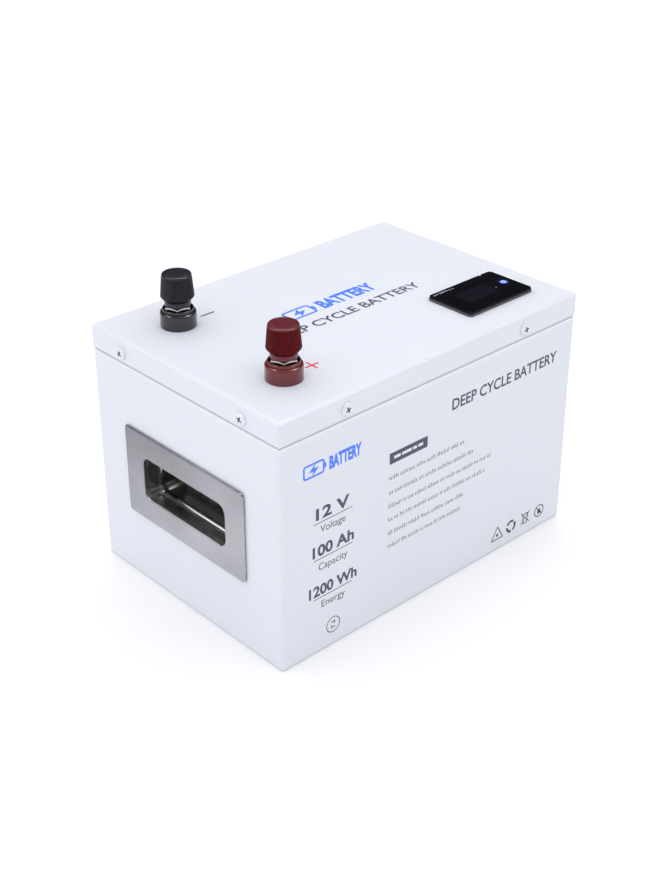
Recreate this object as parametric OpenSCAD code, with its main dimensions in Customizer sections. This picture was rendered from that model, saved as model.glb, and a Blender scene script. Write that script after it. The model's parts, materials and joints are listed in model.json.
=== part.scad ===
// Deep cycle battery for caravans: a folded steel case with a screwed lid, a recessed carrying handle
// in each short end, two binding posts with knurled caps and a small display with a power button.
// Four prismatic cells in series, a battery management board and their wiring fill the case.
// Units are millimetres. +Z is up, +X runs along the case towards the display, and the origin is the
// centre of the case's underside. "Left" is the -X end, where the binding posts stand.

/* [Case and lid] */
// Length over the lid
length = 300; // [298:1:320]
// Width over the lid
width = 207; // [206:1:220]
// Height of the lid's top face
height = 198; // [196:1:206]
// Thickness of the sheet that the case and lid are folded from
sheet = 1.5; // [1.2:0.1:1.8]
// Depth of the lid's folded rim
rim_h = 19.6; // [18:0.2:24]
// Gap between the lid's rim and the case's neck
rim_gap = 0.3; // [0.2:0.1:0.4]
// How far the walls of the case stand back from the rim
case_inset = 0.4; // [0.3:0.1:1]
// Radius of the rim's lower corners
rim_corner_r = 2.5; // [2:0.5:5]
// Radius of the upright edges
edge_r = 2; // [1.9:0.1:3]

/* [Lid screws] */
// Distance of the long sides' screws from the middle
screw_x = 90.2; // [70:0.2:110]
// Distance of the short sides' screws from the middle
screw_y = 66.5; // [60:0.5:75]
// Depth of the screws below the lid's top face
screw_drop = 10.8; // [9:0.1:13]
// Thread radius of the lid screws
screw_r = 2.5; // [2:0.5:2.5]
// Radius of the screws' pan heads
screw_head_r = 4.9; // [4.5:0.1:5.5]

/* [Handles] */
// Height of the handles' centre
handle_z = 93.6; // [80:0.1:100]
// Width of the handle plate
plate_w = 134; // [130:1:140]
// Height of the handle plate
plate_h = 72.8; // [70:0.2:76]
// Thickness of the handle plate
plate_t = 1.5; // [1:0.1:1.6]
// Width of the hand opening
grip_w = 93.2; // [85:0.2:96]
// Height of the hand opening
grip_h = 34; // [30:0.5:36]
// Corner radius of the hand opening
grip_r = 7; // [5:0.5:9]
// How deep the cup reaches behind the plate
cup_depth = 20; // [16:1:22]

/* [Binding posts] */
// Distance of the posts from the case's middle, towards the left end
post_x = 104.4; // [102:0.2:110]
// Distance of each post from the centre line
post_y = 57.6; // [54:0.2:64]
// Radius of the moulded base
base_r = 13.4; // [13:0.1:15]
// Radius of the stud's thread
stud_r = 5; // [5]
// Lift of the cap in one turn of the stud's thread
stud_pitch = 1.5; // [1.5]
// Width across the flats of the post's hex nut
nut_flats = 18; // [17:0.5:18]
// Largest radius of the knurled cap
cap_r = 12.4; // [12:0.1:13]
// Height of the cap's top above the lid
cap_top = 40.6; // [40:0.2:44]

/* [Display] */
// Place of the display's centre along the case
display_x = 92.8; // [88:0.2:96]
// Place of the display's centre across the case
display_y = -57.2; // [-62:0.2:-50]
// Length of the display
display_w = 70; // [68:0.2:72]
// Width of the display
display_d = 44; // [42:0.1:46]
// Corner radius of the display
display_r = 3.5; // [3:0.5:6]
// Travel of the power button
button_travel = 0.5; // [0.3:0.1:0.6]

/* [Cells] */
// Thickness of one cell
cell_t = 50; // [48:0.5:50]
// Width of one cell
cell_w = 160; // [150:1:160]
// Height of one cell
cell_h = 118; // [110:1:118]
// Distance of a cell's two poles from its middle
pole_y = 55; // [50:1:60]

/* [Hidden] */
$fn = 64;
eps = 0.5;            // how far a cutting tool runs past the face that it cuts
joint_gap = 0.3;      // space between pieces that move past each other or just clear each other
thread_play = 0.05;   // radial clearance in each threaded hole
hex_bevel = 1.2;      // height of the turned-down corners of every nut
hex_rim = 0.2;        // how far a nut's flat top stays inside its flats

// Case, lid and lid screws: the case's walls step in to a neck behind the lid's rim
case_l = length - 2 * case_inset;
case_w = width - 2 * case_inset;
case_h = height - sheet;
neck_l = length - 2 * (sheet + rim_gap);
neck_w = width - 2 * (sheet + rim_gap);
rim_z = height - rim_h;
shoulder_z = rim_z - joint_gap;
screw_z = height - screw_drop;
screw_head_h = 2.2;
screw_bevel = 1.3;    // how far the pan head's round edge reaches in
screw_recess = [5.2, 1.1, 1.5];
screw_len = 10;
screw_play = 0.25;    // radial clearance of the screws in the lid's rim
clinch_shank_r = 3.4;
clinch_body_r = 4.75;
clinch_body_h = 4;

// Handles: depths are measured outwards from the case's end wall
gasket_t = 0.8;
gasket_inset = 1.5;
plate_r = 3;
lip_t = 1.2;
lip_depth = 3;
cup_margin = 6;       // how far the cup's inside reaches beyond the hand opening
cup_t = 1;
cup_r = 9;
cup_play = 0.75;
grip_stud_r = 2;
grip_stud_z = plate_h / 2 - 5.4;
grip_stud_y = plate_w / 2 - 6;
grip_stud_len = 10;
grip_nut_flats = 7;
grip_nut_h = 4;
grip_flange = [4.5, 0.8]; // radius and thickness

// Binding posts: heights are measured from the lid's top face
base_h = 14.3;
base_shoulder = 12.2;
base_round = 1.8;     // radius of the round edge below the shoulder
base_collar_r = 11.5;
base_lip = 0.5;
base_spigot_r = 8;
base_spigot_h = 3.5;
spigot_play = 0.1;    // radial clearance of the base's spigot
bore_play = 0.15;     // radial clearance of the stud in the moulded parts
plain_play = 0.3;     // radial clearance of the stud in the washer and lug under the lid
pocket_r = 10.6;
pocket_floor = 8;
nut_top = 16.6;
nut_turn = -11;       // turns one corner of the hex nut towards the left front
washer_r = 8;
washer_t = 1.2;
neck_r = 9.7;
neck_top = 20.4;
flare_top = 23.6;
cap_rim_r = 11.1;
cap_lip = 0.9;        // width of the ring round the cap's top, of its outer bevel too
cap_dish = 0.6;       // depth of the flat inside that ring
insert_z = nut_top + washer_t + joint_gap;
insert_r = 7.5;
insert_len = 16;
stud_top = 33;
stud_bottom = -20;
insulator_r = 12;
insulator_bottom = -5.5;
under_washer_r = 10;
lug_plate_t = 2.5;
under_washer_t = 1.5;
lock_nut_flats = 17;
lock_nut_h = 8;

// Display: heights are measured from the lid's top face
bezel_h = 2;
glass_t = 1.5;
glass_inset = 0.4;
tub_w = 64;
tub_d = 38;
tub_r = 3;
tub_depth = 12;
tub_t = 1.2;
tub_play = 0.2;       // clearance on each side of the tub in the lid
cable_hole_r = 2.5;
snap_x = 18;
snap_size = [8, 1, 2]; // width, reach beyond the tub and height of a snap lug
board_top = -3;
board_t = 1.2;
board_play = 0.5;
board_screw = [27, 14.5]; // from the display's centre
board_boss_r = 2.4;
board_pilot_r = 0.95;
button_x = 25.9;      // from the display's centre
button_r = 3.3;
button_flange = [1, 0.7]; // width and thickness
button_dome = 0.2;
button_stem_r = 1.7;
button_stem_z = -1;
switch_w = 6;
switch_h = 2.7;
led_x = 14.5;
led_y = -2.6;
led_r = 0.9;
lcd_x = -4.7;
lcd_size = [32.4, 17.5];
screen_gap = 0.1;     // gap between the glass and what lies behind it

// Cell stack
pad_t = 6;
cell_z = sheet + pad_t;
cell_top = cell_z + cell_h;
cell_r = 3;
vent_r = 9;
vent_depth = 0.6;
sheet_t = 1;          // insulating sheet between cells
cell_pitch = cell_t + sheet_t;
cells = 4;
stack_l = cells * cell_t + (cells + 1) * sheet_t;
end_plate_t = 4;
strap_t = 0.6;
strap_w = 16;
strap_heights = [20, 80]; // above the cells' undersides
side_pad_inset = 5;
pole_r = 9;
pole_h = 3.5;
pole_stud_r = 3;
pole_stud_h = 10;
pole_nut = [10, 5];   // width across the flats and height
link_play = 0.2;      // radial clearance of the pole studs in links and lugs
busbar_t = 2;
busbar_w = 20;
busbar_r = 4;
busbar_z = cell_top + pole_h;

// Battery management board, above the cells on its tray
tray_z = cell_top + 16.5;
tray_t = 2;
tray_size = [190, 84];
tray_leg = 8;
tray_leg_y = 28;
boss_r = 4;
boss_h = 8;
boss_hole = [1.5, 7]; // radius and depth
bms_z = tray_z + tray_t + boss_h;
bms_size = [150, 70];
bms_t = 1.6;
bms_hole_r = 1.7;
bms_screw = [70, 30]; // from the board's middle
bms_screw_r = 1.45;
bms_screw_len = 6;
bms_head = [2.8, 2];  // radius and height
mosfet_size = [10, 9, 4.4];
mosfet_pitch = 12;
mosfet_rows = 20;     // distance of the two rows from the board's middle
sink_size = [104, 54, 3];
fins = 9;
fin_t = 1.6;
fin_h = 9;
cable_r = 4.5;
lug_barrel = [13, 27]; // where a lug's crimped barrel starts and ends, from the hole's centre
lug_tongue_w = 12;

// ---------------------------------------------------------------- shared shapes

// A rectangle with round corners, centred
module rounded(w, d, r) {
    square([w - 2 * r, d], center = true);
    square([w, d - 2 * r], center = true);
    for (x = [-1, 1], y = [-1, 1]) translate([x * (w / 2 - r), y * (d / 2 - r)]) circle(r);
}

// A block with round upright edges, from z0 to z1
module slab(w, d, r, z0, z1) {
    translate([0, 0, z0]) linear_extrude(z1 - z0) rounded(w, d, r);
}

// A hexagonal prism, from z0 to z1, with its corners turned down at the top
module hexagon(flats, z0, z1, bore_r) {
    corner_r = flats / 2 / cos(30);
    difference() {
        intersection() {
            translate([0, 0, z0]) cylinder(r = corner_r, h = z1 - z0, $fn = 6);
            rotate_extrude() polygon([
                [0, z0 - eps], [corner_r + eps, z0 - eps], [corner_r + eps, z1 - hex_bevel],
                [flats / 2 - hex_rim, z1], [0, z1]
            ]);
        }
        translate([0, 0, z0 - eps]) cylinder(r = bore_r, h = z1 - z0 + 2 * eps);
    }
}

// A flat ring, from z0 to z1
module ring(outer_r, bore_r, z0, z1) {
    translate([0, 0, z0]) difference() {
        cylinder(r = outer_r, h = z1 - z0);
        translate([0, 0, -eps]) cylinder(r = bore_r, h = z1 - z0 + 2 * eps);
    }
}

// Puts its child at each lid screw, with +Z pointing out of the rim
module at_lid_screws() {
    for (turn = [0, 180], s = [-1, 1]) rotate([0, 0, turn]) {
        translate([s * screw_x, -width / 2, screw_z]) rotate([90, 0, 0]) children();
        translate([-length / 2, s * screw_y, screw_z]) rotate([0, -90, 0]) children();
    }
}

// Puts its child on an end wall, with +Z pointing outwards and +X pointing up
module at_handle(side) {
    rotate([0, 0, side < 0 ? 0 : 180])
        translate([-case_l / 2, 0, handle_z]) rotate([0, -90, 0]) children();
}

module at_grip_studs() {
    for (z = [-1, 1], y = [-1, 1]) translate([z * grip_stud_z, y * grip_stud_y, 0]) children();
}

// Puts its child on a post's axis at the lid's top face; side is -1 at the red post and 1 at the black
module at_post(side) {
    translate([-post_x, side * post_y, height]) children();
}

module at_display() {
    translate([display_x, display_y, height]) children();
}

function cell_x(i) = (i - (cells - 1) / 2) * cell_pitch;

// A point on the cubic curve through a and d that leaves towards b and arrives from c
function curve(a, b, c, d, t) =
    pow(1 - t, 3) * a + 3 * t * pow(1 - t, 2) * b + 3 * t * t * (1 - t) * c + pow(t, 3) * d;
function unit(v) = v / norm(v);

// A round lead that leaves a along from_dir and arrives at d along to_dir. side_dir is any direction
// that the lead never points in, pull is how far it runs on before it turns, and stub is the length
// of its straight ends.
module lead(a, from_dir, d, to_dir, side_dir, pull, r, stub = 1, rings = 12, sides = 10) {
    a1 = a + stub * from_dir;
    d1 = d - stub * to_dir;
    bend = [for (i = [0 : rings]) curve(a1, a1 + pull * from_dir, d1 - pull * to_dir, d1, i / rings)];
    path = concat([a], bend, [d]);
    last = len(path) - 1;
    heading = [for (i = [0 : last])
        i <= 1 ? from_dir : i >= last - 1 ? to_dir : unit(path[i + 1] - path[i - 1])];
    points = [for (i = [0 : last])
        let (u = unit(cross(heading[i], side_dir)), v = cross(heading[i], u))
        for (k = [0 : sides - 1]) path[i] + r * (cos(360 * k / sides) * u + sin(360 * k / sides) * v)];
    walls = [for (i = [0 : last - 1], k = [0 : sides - 1])
        let (n = (k + 1) % sides)
        [i * sides + k, (i + 1) * sides + k, (i + 1) * sides + n, i * sides + n]];
    ends = [[for (k = [0 : sides - 1]) k], [for (k = [sides - 1 : -1 : 0]) last * sides + k]];
    polyhedron(points, concat(walls, ends), convexity = 6);
}

// A crimped cable lug: a flat ring on the hole's axis and a barrel along +X, sitting on z = 0
module lug(hole_r, plate) {
    difference() {
        union() {
            cylinder(r = busbar_w / 2 - 1, h = plate);
            translate([0, -lug_tongue_w / 2, 0]) cube([lug_barrel[0] + 2, lug_tongue_w, plate]);
            translate([lug_barrel[0], 0, cable_r + 1]) rotate([0, 90, 0])
                cylinder(r = cable_r + 1, h = lug_barrel[1] - lug_barrel[0]);
        }
        translate([0, 0, -eps]) cylinder(r = hole_r, h = plate + 2 * eps);
        translate([lug_barrel[0] + 3, 0, cable_r + 1]) rotate([0, 90, 0])
            cylinder(r = cable_r + thread_play, h = lug_barrel[1]);
    }
}

// ---------------------------------------------------------------- case and lid

module case() {
    color("ghostwhite") difference() {
        union() {
            slab(case_l, case_w, edge_r, 0, shoulder_z);
            slab(neck_l, neck_w, edge_r, shoulder_z - eps, case_h);
        }
        slab(case_l - 2 * sheet, case_w - 2 * sheet, edge_r - sheet, sheet, shoulder_z - sheet);
        slab(neck_l - 2 * sheet, neck_w - 2 * sheet, edge_r - sheet, shoulder_z - sheet - eps, case_h + eps);
        at_lid_screws() translate([0, 0, -2 * sheet - rim_gap - eps])
            cylinder(r = clinch_shank_r, h = sheet + 2 * eps);
        for (side = [-1, 1]) at_handle(side) {
            slab(cup_h() + 2 * cup_play, cup_w() + 2 * cup_play, cup_r + cup_play, -sheet - eps, eps);
            at_grip_studs() translate([0, 0, -sheet - eps])
                cylinder(r = grip_stud_r + screw_play, h = sheet + 2 * eps);
        }
    }
}

module lid() {
    color("ghostwhite") difference() {
        slab(length, width, edge_r, rim_z, height);
        slab(length - 2 * sheet, width - 2 * sheet, edge_r - sheet, rim_z - eps, height - sheet);
        // round lower corners of the four folded rims
        for (turn = [0, 180]) rotate([0, 0, turn]) {
            rim_corners(length, width);
            rotate([0, 0, 90]) rim_corners(width, length);
        }
        at_lid_screws() translate([0, 0, -sheet - eps])
            cylinder(r = screw_r + screw_play, h = sheet + 2 * eps);
        for (side = [-1, 1]) at_post(side) translate([0, 0, -sheet - eps])
            cylinder(r = base_spigot_r + spigot_play, h = sheet + 2 * eps);
        at_display() slab(tub_w + 2 * tub_play, tub_d + 2 * tub_play, tub_r + tub_play, -sheet - eps, eps);
    }
}

// Cutters for the two lower corners of the rim on the -Y side of a lid that is l by w
module rim_corners(l, w) {
    for (s = [-1, 1])
        translate([s * l / 2, -w / 2 + sheet, rim_z]) rotate([90, 0, 0])
            linear_extrude(sheet + eps) difference() {
                square(2 * rim_corner_r, center = true);
                translate([-s * rim_corner_r, rim_corner_r]) circle(rim_corner_r);
            }
}

module lid_screws() {
    color("ghostwhite") at_lid_screws() difference() {
        union() {
            rotate_extrude() polygon([
                [0, 0], [screw_head_r, 0], [screw_head_r, screw_head_h / 2],
                [screw_head_r - screw_bevel, screw_head_h], [0, screw_head_h]
            ]);
            translate([0, 0, -screw_len]) cylinder(r = screw_r, h = screw_len + eps);
        }
        for (turn = [0, 90]) rotate([0, 0, turn])
            translate([-screw_recess[0] / 2, -screw_recess[1] / 2, screw_head_h - screw_recess[2]])
                cube(screw_recess + [0, 0, eps]);
    }
}

module clinch_nuts() {
    wall_in = -2 * sheet - rim_gap;
    color("silver") at_lid_screws() difference() {
        union() {
            translate([0, 0, wall_in - clinch_body_h]) cylinder(r = clinch_body_r, h = clinch_body_h);
            translate([0, 0, wall_in - eps]) cylinder(r = clinch_shank_r, h = sheet + eps);
        }
        translate([0, 0, wall_in - clinch_body_h - eps])
            cylinder(r = screw_r + thread_play, h = clinch_body_h + sheet + 2 * eps);
    }
}

// ---------------------------------------------------------------- handles

function cup_w() = grip_w + 2 * (cup_margin + cup_t);
function cup_h() = grip_h + 2 * (cup_margin + cup_t);

module handle_plate(side) {
    color("silver") at_handle(side) difference() {
        union() {
            slab(plate_h, plate_w, plate_r, gasket_t, gasket_t + plate_t);
            slab(grip_h + 2 * lip_t, grip_w + 2 * lip_t, grip_r + lip_t,
                gasket_t - lip_depth, gasket_t + eps);
            at_grip_studs() translate([0, 0, gasket_t - grip_stud_len])
                cylinder(r = grip_stud_r, h = grip_stud_len + eps);
        }
        slab(grip_h, grip_w, grip_r, gasket_t - lip_depth - eps, gasket_t + plate_t + eps);
    }
}

module handle_cup(side) {
    color("gray") at_handle(side) difference() {
        slab(cup_h(), cup_w(), cup_r, gasket_t - cup_depth, gasket_t);
        slab(cup_h() - 2 * cup_t, cup_w() - 2 * cup_t, cup_r - cup_t,
            gasket_t - cup_depth + cup_t, gasket_t + eps);
    }
}

module handle_gasket(side) {
    color("black") at_handle(side) difference() {
        slab(plate_h - 2 * gasket_inset, plate_w - 2 * gasket_inset, plate_r, 0, gasket_t);
        slab(cup_h() + cup_play, cup_w() + cup_play, cup_r + cup_play / 2, -eps, gasket_t + eps);
        at_grip_studs() translate([0, 0, -eps])
            cylinder(r = grip_stud_r + screw_play, h = gasket_t + 2 * eps);
    }
}

module handle_nuts() {
    color("silver") for (side = [-1, 1]) at_handle(side) at_grip_studs() {
        mirror([0, 0, 1]) difference() {
            union() {
                translate([0, 0, sheet]) cylinder(r = grip_flange[0], h = grip_flange[1]);
                hexagon(grip_nut_flats, sheet, sheet + grip_nut_h, grip_stud_r + thread_play);
            }
            cylinder(r = grip_stud_r + thread_play, h = sheet + grip_nut_h + eps);
        }
    }
}

// ---------------------------------------------------------------- binding posts

module post_base(side, tint) {
    color(tint) at_post(side) rotate_extrude() polygon([
        [stud_r + bore_play, -base_spigot_h], [base_spigot_r, -base_spigot_h], [base_spigot_r, 0],
        [base_r, 0], [base_r, base_shoulder - base_round],
        [base_r - base_round * (1 - cos(45)), base_shoulder - base_round * (1 - sin(45))],
        [base_r - base_round, base_shoulder], [base_collar_r, base_shoulder],
        [base_collar_r, base_h - base_lip], [base_collar_r - base_lip, base_h], [pocket_r, base_h],
        [pocket_r, pocket_floor], [stud_r + bore_play, pocket_floor]
    ]);
}

module post_stud(side) {
    chamfer = stud_pitch / 2;
    color("silver") at_post(side) rotate_extrude() polygon([
        [0, stud_bottom], [stud_r - chamfer, stud_bottom], [stud_r, stud_bottom + chamfer],
        [stud_r, stud_top - chamfer], [stud_r - chamfer, stud_top], [0, stud_top]
    ]);
}

module post_hex_nut(side) {
    color("silver") at_post(side) rotate([0, 0, nut_turn])
        hexagon(nut_flats, pocket_floor, nut_top, stud_r + thread_play);
}

module post_washer(side) {
    color("silver") at_post(side) ring(washer_r, stud_r + thread_play, nut_top, nut_top + washer_t);
}

module post_cap(side, tint) {
    bottom = nut_top + joint_gap;
    color(tint) at_post(side) rotate_extrude() polygon([
        [washer_r + joint_gap, bottom], [neck_r, bottom], [neck_r, neck_top],
        [cap_r, flare_top], [cap_rim_r, cap_top - cap_lip], [cap_rim_r - cap_lip, cap_top],
        [cap_rim_r - 2 * cap_lip, cap_top - cap_dish], [0, cap_top - cap_dish],
        [0, insert_z + insert_len], [insert_r, insert_z + insert_len], [insert_r, insert_z],
        [washer_r + joint_gap, insert_z]
    ]);
}

module post_cap_insert(side) {
    color("gold") at_post(side) ring(insert_r, stud_r + thread_play, insert_z, insert_z + insert_len);
}

module stud_insulators() {
    color("black") for (side = [-1, 1]) at_post(side) rotate_extrude() polygon([
        [base_spigot_r + spigot_play, -sheet], [insulator_r, -sheet], [insulator_r, insulator_bottom],
        [stud_r + bore_play, insulator_bottom], [stud_r + bore_play, -base_spigot_h],
        [base_spigot_r + spigot_play, -base_spigot_h]
    ]);
}

module stud_washers() {
    color("silver") for (side = [-1, 1]) at_post(side)
        ring(under_washer_r, stud_r + plain_play, insulator_bottom - under_washer_t, insulator_bottom);
}

module stud_lock_nuts() {
    lug_bottom = insulator_bottom - under_washer_t - lug_plate_t;
    color("silver") for (side = [-1, 1]) at_post(side) mirror([0, 0, 1])
        hexagon(lock_nut_flats, -lug_bottom, -lug_bottom + lock_nut_h, stud_r + thread_play);
}

// ---------------------------------------------------------------- display

module at_board_screws() {
    for (x = [-1, 1], y = [-1, 1]) translate([x * board_screw[0], y * board_screw[1], 0]) children();
}

module display_housing() {
    board_bottom = board_top - board_t;
    color([0.12, 0.12, 0.14]) at_display() {
        difference() {
            union() {
                slab(display_w, display_d, display_r, 0, bezel_h);
                slab(tub_w, tub_d, tub_r, -tub_depth, eps);
                // snap lugs that grip the lid from below
                for (x = [-snap_x, snap_x])
                    translate([x - snap_size[0] / 2, -tub_d / 2 - snap_size[1], -sheet - snap_size[2]])
                        cube([snap_size[0], tub_d + 2 * snap_size[1], snap_size[2]]);
            }
            slab(tub_w - 2 * tub_t, tub_d - 2 * tub_t, tub_r - tub_t, -tub_depth + tub_t, bezel_h + eps);
            translate([0, 0, -tub_depth - eps]) cylinder(r = cable_hole_r, h = tub_t + 2 * eps);
        }
        at_board_screws() ring(board_boss_r, board_pilot_r, -tub_depth + tub_t, board_bottom);
    }
}

module display_glass() {
    color([0.02, 0.02, 0.03]) at_display() difference() {
        slab(display_w - 2 * glass_inset, display_d - 2 * glass_inset, display_r - glass_inset,
            bezel_h, bezel_h + glass_t);
        translate([button_x, 0, bezel_h - eps]) cylinder(r = button_r + joint_gap, h = glass_t + 2 * eps);
    }
}

module display_lcd() {
    color([0.2, 0.22, 0.25]) at_display() translate([lcd_x, 0, 0])
        translate([-lcd_size[0] / 2, -lcd_size[1] / 2, board_top])
            cube([lcd_size[0], lcd_size[1], bezel_h - screen_gap - board_top]);
}

module display_board() {
    color("darkgreen") at_display() difference() {
        slab(tub_w - 2 * (tub_t + board_play), tub_d - 2 * (tub_t + board_play), tub_r - tub_t,
            board_top - board_t, board_top);
        at_board_screws() translate([0, 0, board_top - board_t - eps])
            cylinder(r = board_pilot_r + bore_play, h = board_t + 2 * eps);
    }
}

module display_led() {
    color("lightyellow") at_display() translate([led_x, led_y, board_top])
        cylinder(r = led_r, h = bezel_h - screen_gap - board_top);
}

module power_button() {
    flange_top = bezel_h - joint_gap;
    flange_z = flange_top - button_flange[1];
    face_z = bezel_h + glass_t;
    color([0.85, 0.9, 1]) at_display() translate([button_x, 0, 0]) rotate_extrude() polygon([
        [0, button_stem_z], [button_stem_r, button_stem_z], [button_stem_r, flange_z],
        [button_r + button_flange[0], flange_z], [button_r + button_flange[0], flange_top],
        [button_r, flange_top], [button_r, face_z], [button_r - button_dome, face_z + button_dome],
        [0, face_z + button_dome]
    ]);
}

// A push switch, open at the top so that the button's stem can sink in by its travel
module button_switch() {
    color("dimgray") at_display() translate([button_x, 0, 0]) difference() {
        translate([-switch_w / 2, -switch_w / 2, board_top]) cube([switch_w, switch_w, switch_h]);
        translate([0, 0, button_stem_z - button_travel - joint_gap])
            cylinder(r = button_stem_r + joint_gap, h = switch_h);
    }
}

module display_screws() {
    color("silver") at_display() at_board_screws() {
        translate([0, 0, board_top]) cylinder(r = 2 * board_pilot_r, h = 1.2);
        translate([0, 0, board_top - board_t - 4])
            cylinder(r = board_pilot_r - thread_play, h = board_t + 4 + eps);
    }
}

// ---------------------------------------------------------------- cells

module cell(i) {
    color("royalblue") translate([cell_x(i), 0, 0]) difference() {
        slab(cell_t, cell_w, cell_r, cell_z, cell_top);
        translate([0, 0, cell_top - vent_depth]) cylinder(r = vent_r, h = vent_depth + eps);  // burst vent
    }
}

module at_poles() {
    for (i = [0 : cells - 1], s = [-1, 1]) translate([cell_x(i), s * pole_y, 0]) children();
}

module cell_poles() {
    color("silver") at_poles() {
        translate([0, 0, cell_top]) cylinder(r = pole_r, h = pole_h);
        translate([0, 0, busbar_z - eps]) cylinder(r = pole_stud_r, h = pole_stud_h + eps);
    }
}

module cell_sheets() {
    color("linen") for (i = [0 : cells])
        translate([(i - cells / 2) * cell_pitch - sheet_t / 2, -cell_w / 2, cell_z])
            cube([sheet_t, cell_w, cell_h]);
}

module end_plate(side) {
    color("silver") translate([side * (stack_l + end_plate_t) / 2 - end_plate_t / 2, -cell_w / 2, cell_z])
        cube([end_plate_t, cell_w, cell_h]);
}

module pack_straps() {
    inner = [stack_l + 2 * end_plate_t, cell_w];
    color("dimgray") for (h = strap_heights) translate([0, 0, cell_z + h]) difference() {
        slab(inner[0] + 2 * strap_t, inner[1] + 2 * strap_t, strap_t, 0, strap_w);
        translate([-inner[0] / 2, -inner[1] / 2, -eps]) cube([inner[0], inner[1], strap_w + 2 * eps]);
    }
}

// Links from the positive pole of one cell to the negative pole of the next
module busbars() {
    color("orange") for (i = [0 : cells - 2]) {
        y = i % 2 == 0 ? pole_y : -pole_y;
        translate([(cell_x(i) + cell_x(i + 1)) / 2, y, 0]) difference() {
            slab(cell_pitch + busbar_w, busbar_w, busbar_r, busbar_z, busbar_z + busbar_t);
            for (s = [-1, 1]) translate([s * cell_pitch / 2, 0, busbar_z - eps])
                cylinder(r = pole_stud_r + link_play, h = busbar_t + 2 * eps);
        }
    }
}

module busbar_nuts() {
    nut_z = busbar_z + busbar_t;
    color("silver") at_poles() hexagon(pole_nut[0], nut_z, nut_z + pole_nut[1], pole_stud_r + thread_play);
}

module base_pad() {
    color("dimgray") slab(stack_l + 2 * end_plate_t, cell_w, cell_r, sheet, cell_z);
}

module side_pads() {
    inner = cell_w / 2 + strap_t + joint_gap;
    wall = case_w / 2 - sheet;
    pad = [stack_l - 2 * side_pad_inset, wall - inner, cell_h - 4 * side_pad_inset];
    color("dimgray") for (s = [-1, 1])
        translate([-pad[0] / 2, s > 0 ? inner : -wall, cell_z + side_pad_inset]) cube(pad);
}

// ---------------------------------------------------------------- battery management

module at_bms_screws() {
    for (x = [-1, 1], y = [-1, 1]) translate([x * bms_screw[0], y * bms_screw[1], 0]) children();
}

// Moulded tray: its legs stand on the cells and its bosses carry the board
module bms_tray() {
    leg = [tray_leg, tray_leg, tray_z - cell_top + eps];
    color("black") difference() {
        union() {
            slab(tray_size[0], tray_size[1], boss_r, tray_z, tray_z + tray_t);
            for (i = [0 : cells - 1], s = [-1, 1])
                translate([cell_x(i) - tray_leg / 2, s * tray_leg_y - tray_leg / 2, cell_top]) cube(leg);
            at_bms_screws() translate([0, 0, tray_z]) cylinder(r = boss_r, h = bms_z - tray_z);
        }
        at_bms_screws() translate([0, 0, bms_z - boss_hole[1]])
            cylinder(r = boss_hole[0], h = boss_hole[1] + eps);
    }
}

module bms_board() {
    color("darkgreen") difference() {
        slab(bms_size[0], bms_size[1], 2, bms_z, bms_z + bms_t);
        at_bms_screws() translate([0, 0, bms_z - eps]) cylinder(r = bms_hole_r, h = bms_t + 2 * eps);
    }
}

module bms_mosfets() {
    row = 3.5 * mosfet_pitch;
    color("dimgray") for (x = [-row : mosfet_pitch : row], y = [-mosfet_rows, mosfet_rows])
        translate([x - mosfet_size[0] / 2, y - mosfet_size[1] / 2, bms_z + bms_t]) cube(mosfet_size);
}

module bms_heatsink() {
    sink_z = bms_z + bms_t + mosfet_size[2];
    fin_pitch = (sink_size[1] - fin_t) / (fins - 1);
    color("silver") translate([-sink_size[0] / 2, -sink_size[1] / 2, sink_z]) {
        cube(sink_size);
        for (i = [0 : fins - 1])
            translate([0, i * fin_pitch, sink_size[2] - eps]) cube([sink_size[0], fin_t, fin_h + eps]);
    }
}

module bms_screws() {
    color("silver") at_bms_screws() {
        translate([0, 0, bms_z + bms_t]) cylinder(r = bms_head[0], h = bms_head[1]);
        translate([0, 0, bms_z - bms_screw_len]) cylinder(r = bms_screw_r, h = bms_screw_len + bms_t + eps);
    }
}

// ---------------------------------------------------------------- wiring

lug_axis = cable_r + 1;
lug_grip = 10;                        // length of cable inside a lug's barrel
lug_reach = lug_barrel[1] - lug_grip; // distance of a cable's end from its lug's hole
bms_top = bms_z + bms_t;
bms_lug_x = 62;
bms_lug_y = 9;
bms_lug_hole_r = 2;
stud_lug_z = height + insulator_bottom - under_washer_t;
red_turn = -30;                       // turns both lugs of the positive cable clear of the links
red_dir = [cos(red_turn), sin(red_turn), 0];

// Lugs on both studs, on the stack's end poles and on the board's two power pads
module cable_lugs() {
    color("silver") {
        at_post(-1) translate([0, 0, stud_lug_z - height]) rotate([0, 0, red_turn]) mirror([0, 0, 1])
            lug(stud_r + plain_play, lug_plate_t);
        at_post(1) translate([0, 0, stud_lug_z - height]) rotate([0, 0, -90]) mirror([0, 0, 1])
            lug(stud_r + plain_play, lug_plate_t);
        translate([cell_x(0), -pole_y, busbar_z]) rotate([0, 0, red_turn])
            lug(pole_stud_r + link_play, busbar_t);
        translate([cell_x(cells - 1), -pole_y, busbar_z]) lug(pole_stud_r + link_play, busbar_t);
        translate([bms_lug_x, -bms_lug_y, bms_top]) lug(bms_lug_hole_r, busbar_t);
        translate([-bms_lug_x, bms_lug_y, bms_top]) rotate([0, 0, 180]) lug(bms_lug_hole_r, busbar_t);
    }
}

// From the stack's positive pole, round in a loop, up to the red post
module positive_cable() {
    color("red") lead(
        [cell_x(0), -pole_y, busbar_z + lug_axis] + lug_reach * red_dir, red_dir,
        [-post_x, -post_y, stud_lug_z - lug_axis] + lug_reach * red_dir, -red_dir,
        [-red_dir[1], red_dir[0], 0], 32, cable_r, lug_grip + 1);
}

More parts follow.
